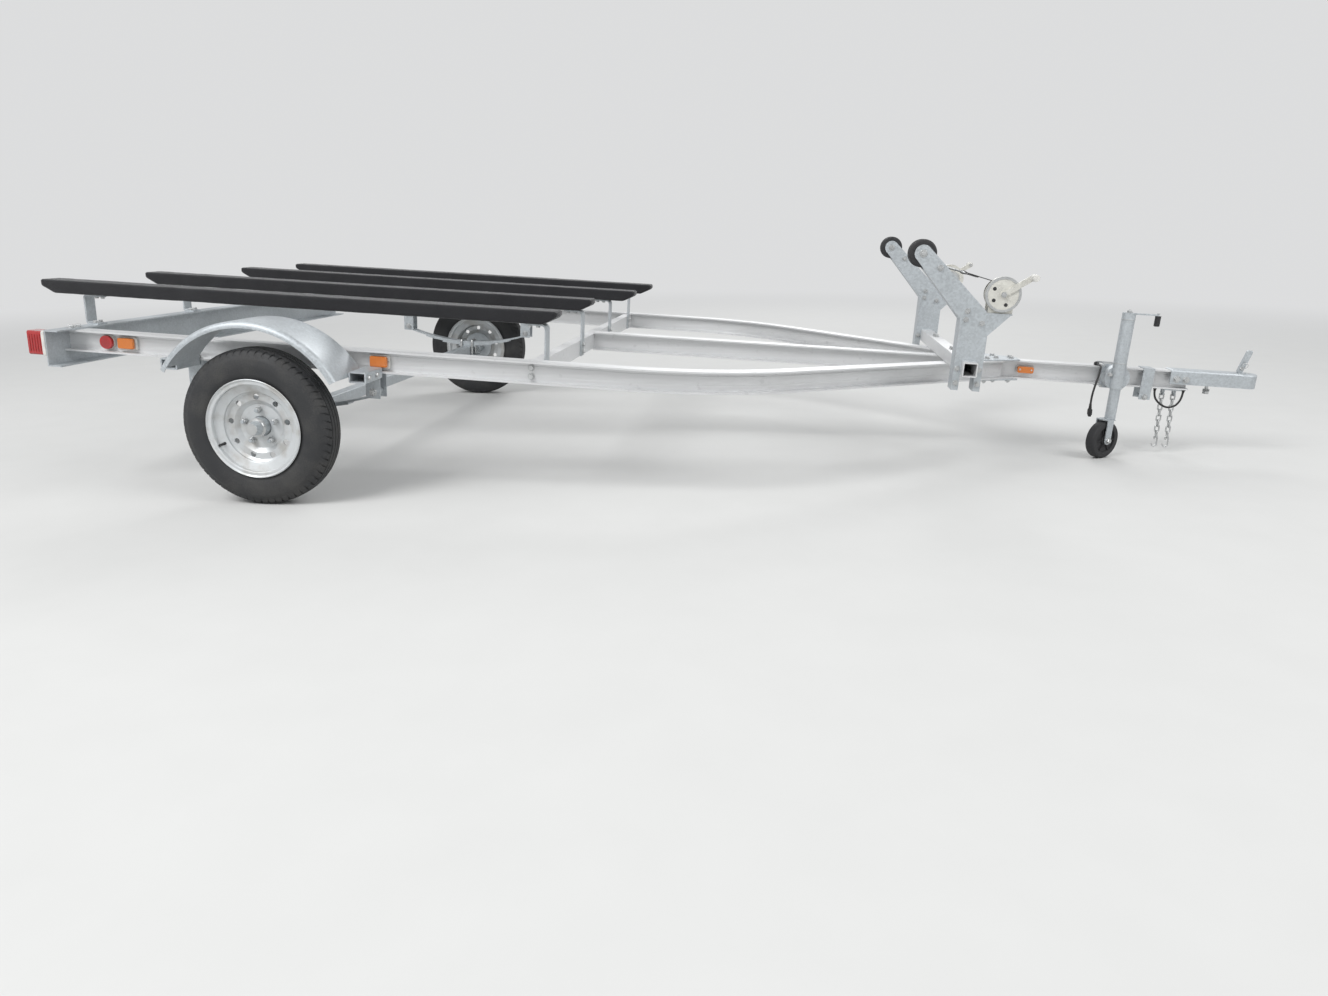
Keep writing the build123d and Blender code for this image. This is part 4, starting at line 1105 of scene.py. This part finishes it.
for side in (-1, 1):
    out, middle, rail = (0, side, 0), side * LAMP_Y, side * (RAIL_Y + 3)
    housings.plate(section_at(0), [(middle + y, LAMP_Z + z) for y, z in rounded(33, 45, 9)],
                   -841, -829.6, 1.5)
    flute = (0.8, 452), (-0.6, 455), (-0.6, 511), (0.8, 514)
    for dy in (-18, -9, 9, 18):
        flutes.tube([at(LAMP_BACK + dx, middle + dy, z) for dx, z in flute], 0.0018, 8)
    for x in (-888, -878, -868, -858, -848):
        flutes.tube([at(x, side * (1085 - dx), z) for dx, z in flute], 0.0018, 8)
    flutes.tube([at(LAMP_BACK - 0.2, middle + y, LAMP_Z + z) for y, z in rounded(26, 38, 7)],
                0.0018, 8, closed=True)
    for dz in (-34, 34):
        screw(LAMP_BACK, middle, LAMP_Z + dz * 0.82, BACK)
    red_at = facing(-671, rail, MARKER_Z, out)
    housings.turned(red_at, [(28.5, -0.5), (28.5, 6), (27, 9), (24, 9.6)], 48)
    reds.turned(red_at, [(25, 9), (25, 16), (23.4, 19.6), (18, 21.2), (8, 21.8)], 48)
    for x in (-595, 350):
        amber_at = facing(x, rail, MARKER_Z, out)
        housings.plate(amber_at, rounded(37, 24, 7), -0.5, 10, 2)
        ambers.plate(amber_at, rounded(31, 19, 6), 9.6, 22, 3)
        for dx in (-33.6, 33.6):
            screw(x + dx, rail + side * 9.6, MARKER_Z, out)
    housings.plate(facing(2735, side * 2.6, MARKER_Z, out), rounded(36, 16, 5), 0, 7, 1.2)
    for x in (2712, 2758):
        screw(x, side * 26.5, MARKER_Z, out)
piece("lamp_housings", housings, pale_plastic)
piece("lamp_flutes", flutes, red_lens)
piece("red_reflectors", reds, red_lens)
piece("amber_lamps", ambers, amber_lens)
piece("lamp_screws", screws, bright_zinc)
print("lamp details", added["lamp_housings"], added["lamp_screws"])

# %% [markdown]
# The cable to the jack comes out of a small clip on the tongue and ends in a moulded plug, where
# a tapered boot with rings takes the strain. The other cable goes back in through two grommets.
# Each cable's real length is its length in the photograph, where both show from end to end.

# %% Cable ends
clip, plug, grommets = Shape(), Shape(), Shape()
clip.plate(level(3012, -16, 525.2), rounded(8, 9, 2.5), 0, 12, 1.5)
clip.nut(facing(3012, -12, 537.2, UP), 8, 2.5, 0)
piece("cable_clip", clip, cable_sheath)

tail, last = at(*CLIP_TO_PLUG[-2]), at(*CLIP_TO_PLUG[-1])
plug_at = Matrix.Translation(last) @ aimed(tail - last)
profile = [(6.4, -0.5)]
for k in range(4):
    r = 6.4 - 0.4 * k
    profile += [(r, 1 + 5 * k), (r, 3.2 + 5 * k), (r - 0.9, 3.8 + 5 * k), (r - 0.9, 5.4 + 5 * k)]
plug.turned(plug_at, profile + [(4.4, 22)], 24)
plug.plate(plug_at, rounded(11, 7, 3), -24, 0, 1.6)
for low in (-8, -13, -18):
    plug.plate(plug_at, rounded(11.6, 7.6, 3.4), low, low + 2.6, 0.8)
plug.plate(plug_at, rounded(8.4, 4.8, 2), -30, -23, 0.8)
jack_plug = piece("jack_plug", plug, cable_sheath)
for x in (3256, 3367):
    grommets.turned(facing(x, -20, 449, DOWN), [(8, 0), (8, 2), (5.6, 5), (4.6, 12)], 24)
cable_grommets = piece("cable_grommets", grommets, cable_sheath)
print("added", len(added), "pieces,", sum(added.values()), "triangles")

# %% [markdown]
# A plain studio: a wide pale floor that runs out into the same pale surround, and three large
# soft lamps. Only rays from the camera and from gloss see the surround's own colour, so it adds
# no light to the trailer, and the floor near the trailer is an ordinary surface with its shadow.

# %% Studio
SURROUND = (0.72, 0.725, 0.73)


def seen_by(tree):
    """1 for rays that show the background itself: from the camera, from gloss, through glass."""
    rays = tree.nodes.new("ShaderNodeLightPath").outputs
    seen = rays["Is Camera Ray"]
    for kind in ("Is Glossy Ray", "Is Transmission Ray"):
        larger = tree.nodes.new("ShaderNodeMath")
        larger.operation = "MAXIMUM"
        tree.links.new(seen, larger.inputs[0])
        tree.links.new(rays[kind], larger.inputs[1])
        seen = larger.outputs[0]
    return seen


def floor_finish():
    card = Finish("floor", roughness=0.9, specular_ior_level=0.1)
    grain = card.noise(5, 3)
    card.feed(base_color=card.mix(grain, (0.60, 0.60, 0.59), (0.63, 0.63, 0.62)))
    where = card.node("ShaderNodeTexCoord", out="Object")
    away = card.node("ShaderNodeVectorMath", {"operation": "LENGTH"}, {0: where}, out="Value")
    far = card.step(away, 4.0, 11.0) * Wave(card, seen_by(card.tree))
    glow = card.node("ShaderNodeEmission", None, {"Color": (*SURROUND, 1), "Strength": 1.0})
    lit = Wave(card, card.shader.outputs[0])
    both = card.node("ShaderNodeMixShader", None, {0: far, 1: lit, 2: glow})
    card.tree.links.new(both.out, card.tree.nodes["Material Output"].inputs["Surface"])
    return card.material


floor_mesh = bpy.data.meshes.new("floor")
FLOOR_HALF = 90
corners = [(x * FLOOR_HALF, y * FLOOR_HALF, 0) for x, y in ((-1, -1), (1, -1), (1, 1), (-1, 1))]
floor_mesh.from_pydata(corners, [], [(0, 1, 2, 3)])
floor = placed("floor", floor_mesh)
floor.location.z = cad_low.z - 0.0005
floor.data.materials.append(floor_finish())
floor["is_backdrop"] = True


def soft_lamp(name, where, size, watts):
    data = bpy.data.lights.new(name, "AREA")
    data.shape = "DISK"
    data.size = size
    data.energy = watts
    lamp = placed(name, data)
    lamp.location = where
    lamp.rotation_mode = "QUATERNION"
    lamp.rotation_quaternion = (Vector((0, 0, 0.4)) - Vector(where)).to_track_quat("-Z", "Y")


soft_lamp("key", (-4.5, -6.0, 7.0), 5.0, 620)
soft_lamp("fill", (6.0, -3.5, 5.0), 5.0, 230)
soft_lamp("back", (1.0, 7.5, 6.0), 5.0, 260)

world = bpy.data.worlds.new("surround")
bpy.context.scene.world = world
world.use_nodes = True
sky = world.node_tree
either = sky.nodes.new("ShaderNodeMixShader")
ambient = sky.nodes["Background"]
ambient.inputs["Color"].default_value = (0.96, 0.98, 1, 1)
ambient.inputs["Strength"].default_value = 0.55
shown = sky.nodes.new("ShaderNodeBackground")
shown.inputs["Color"].default_value = (*SURROUND, 1)
shown.inputs["Strength"].default_value = 1
sky.links.new(seen_by(sky), either.inputs["Fac"])
sky.links.new(ambient.outputs[0], either.inputs[1])
sky.links.new(shown.outputs[0], either.inputs[2])
sky.links.new(either.outputs[0], sky.nodes["World Output"].inputs["Surface"])
bpy.context.scene.view_settings.view_transform = "Standard"

# %% [markdown]
# The box of what is seen is printed, as the box of the imported model was at the start.

# %% Sizes
low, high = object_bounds()
print("visual box", [round(v, 3) for v in (*low, *high)])
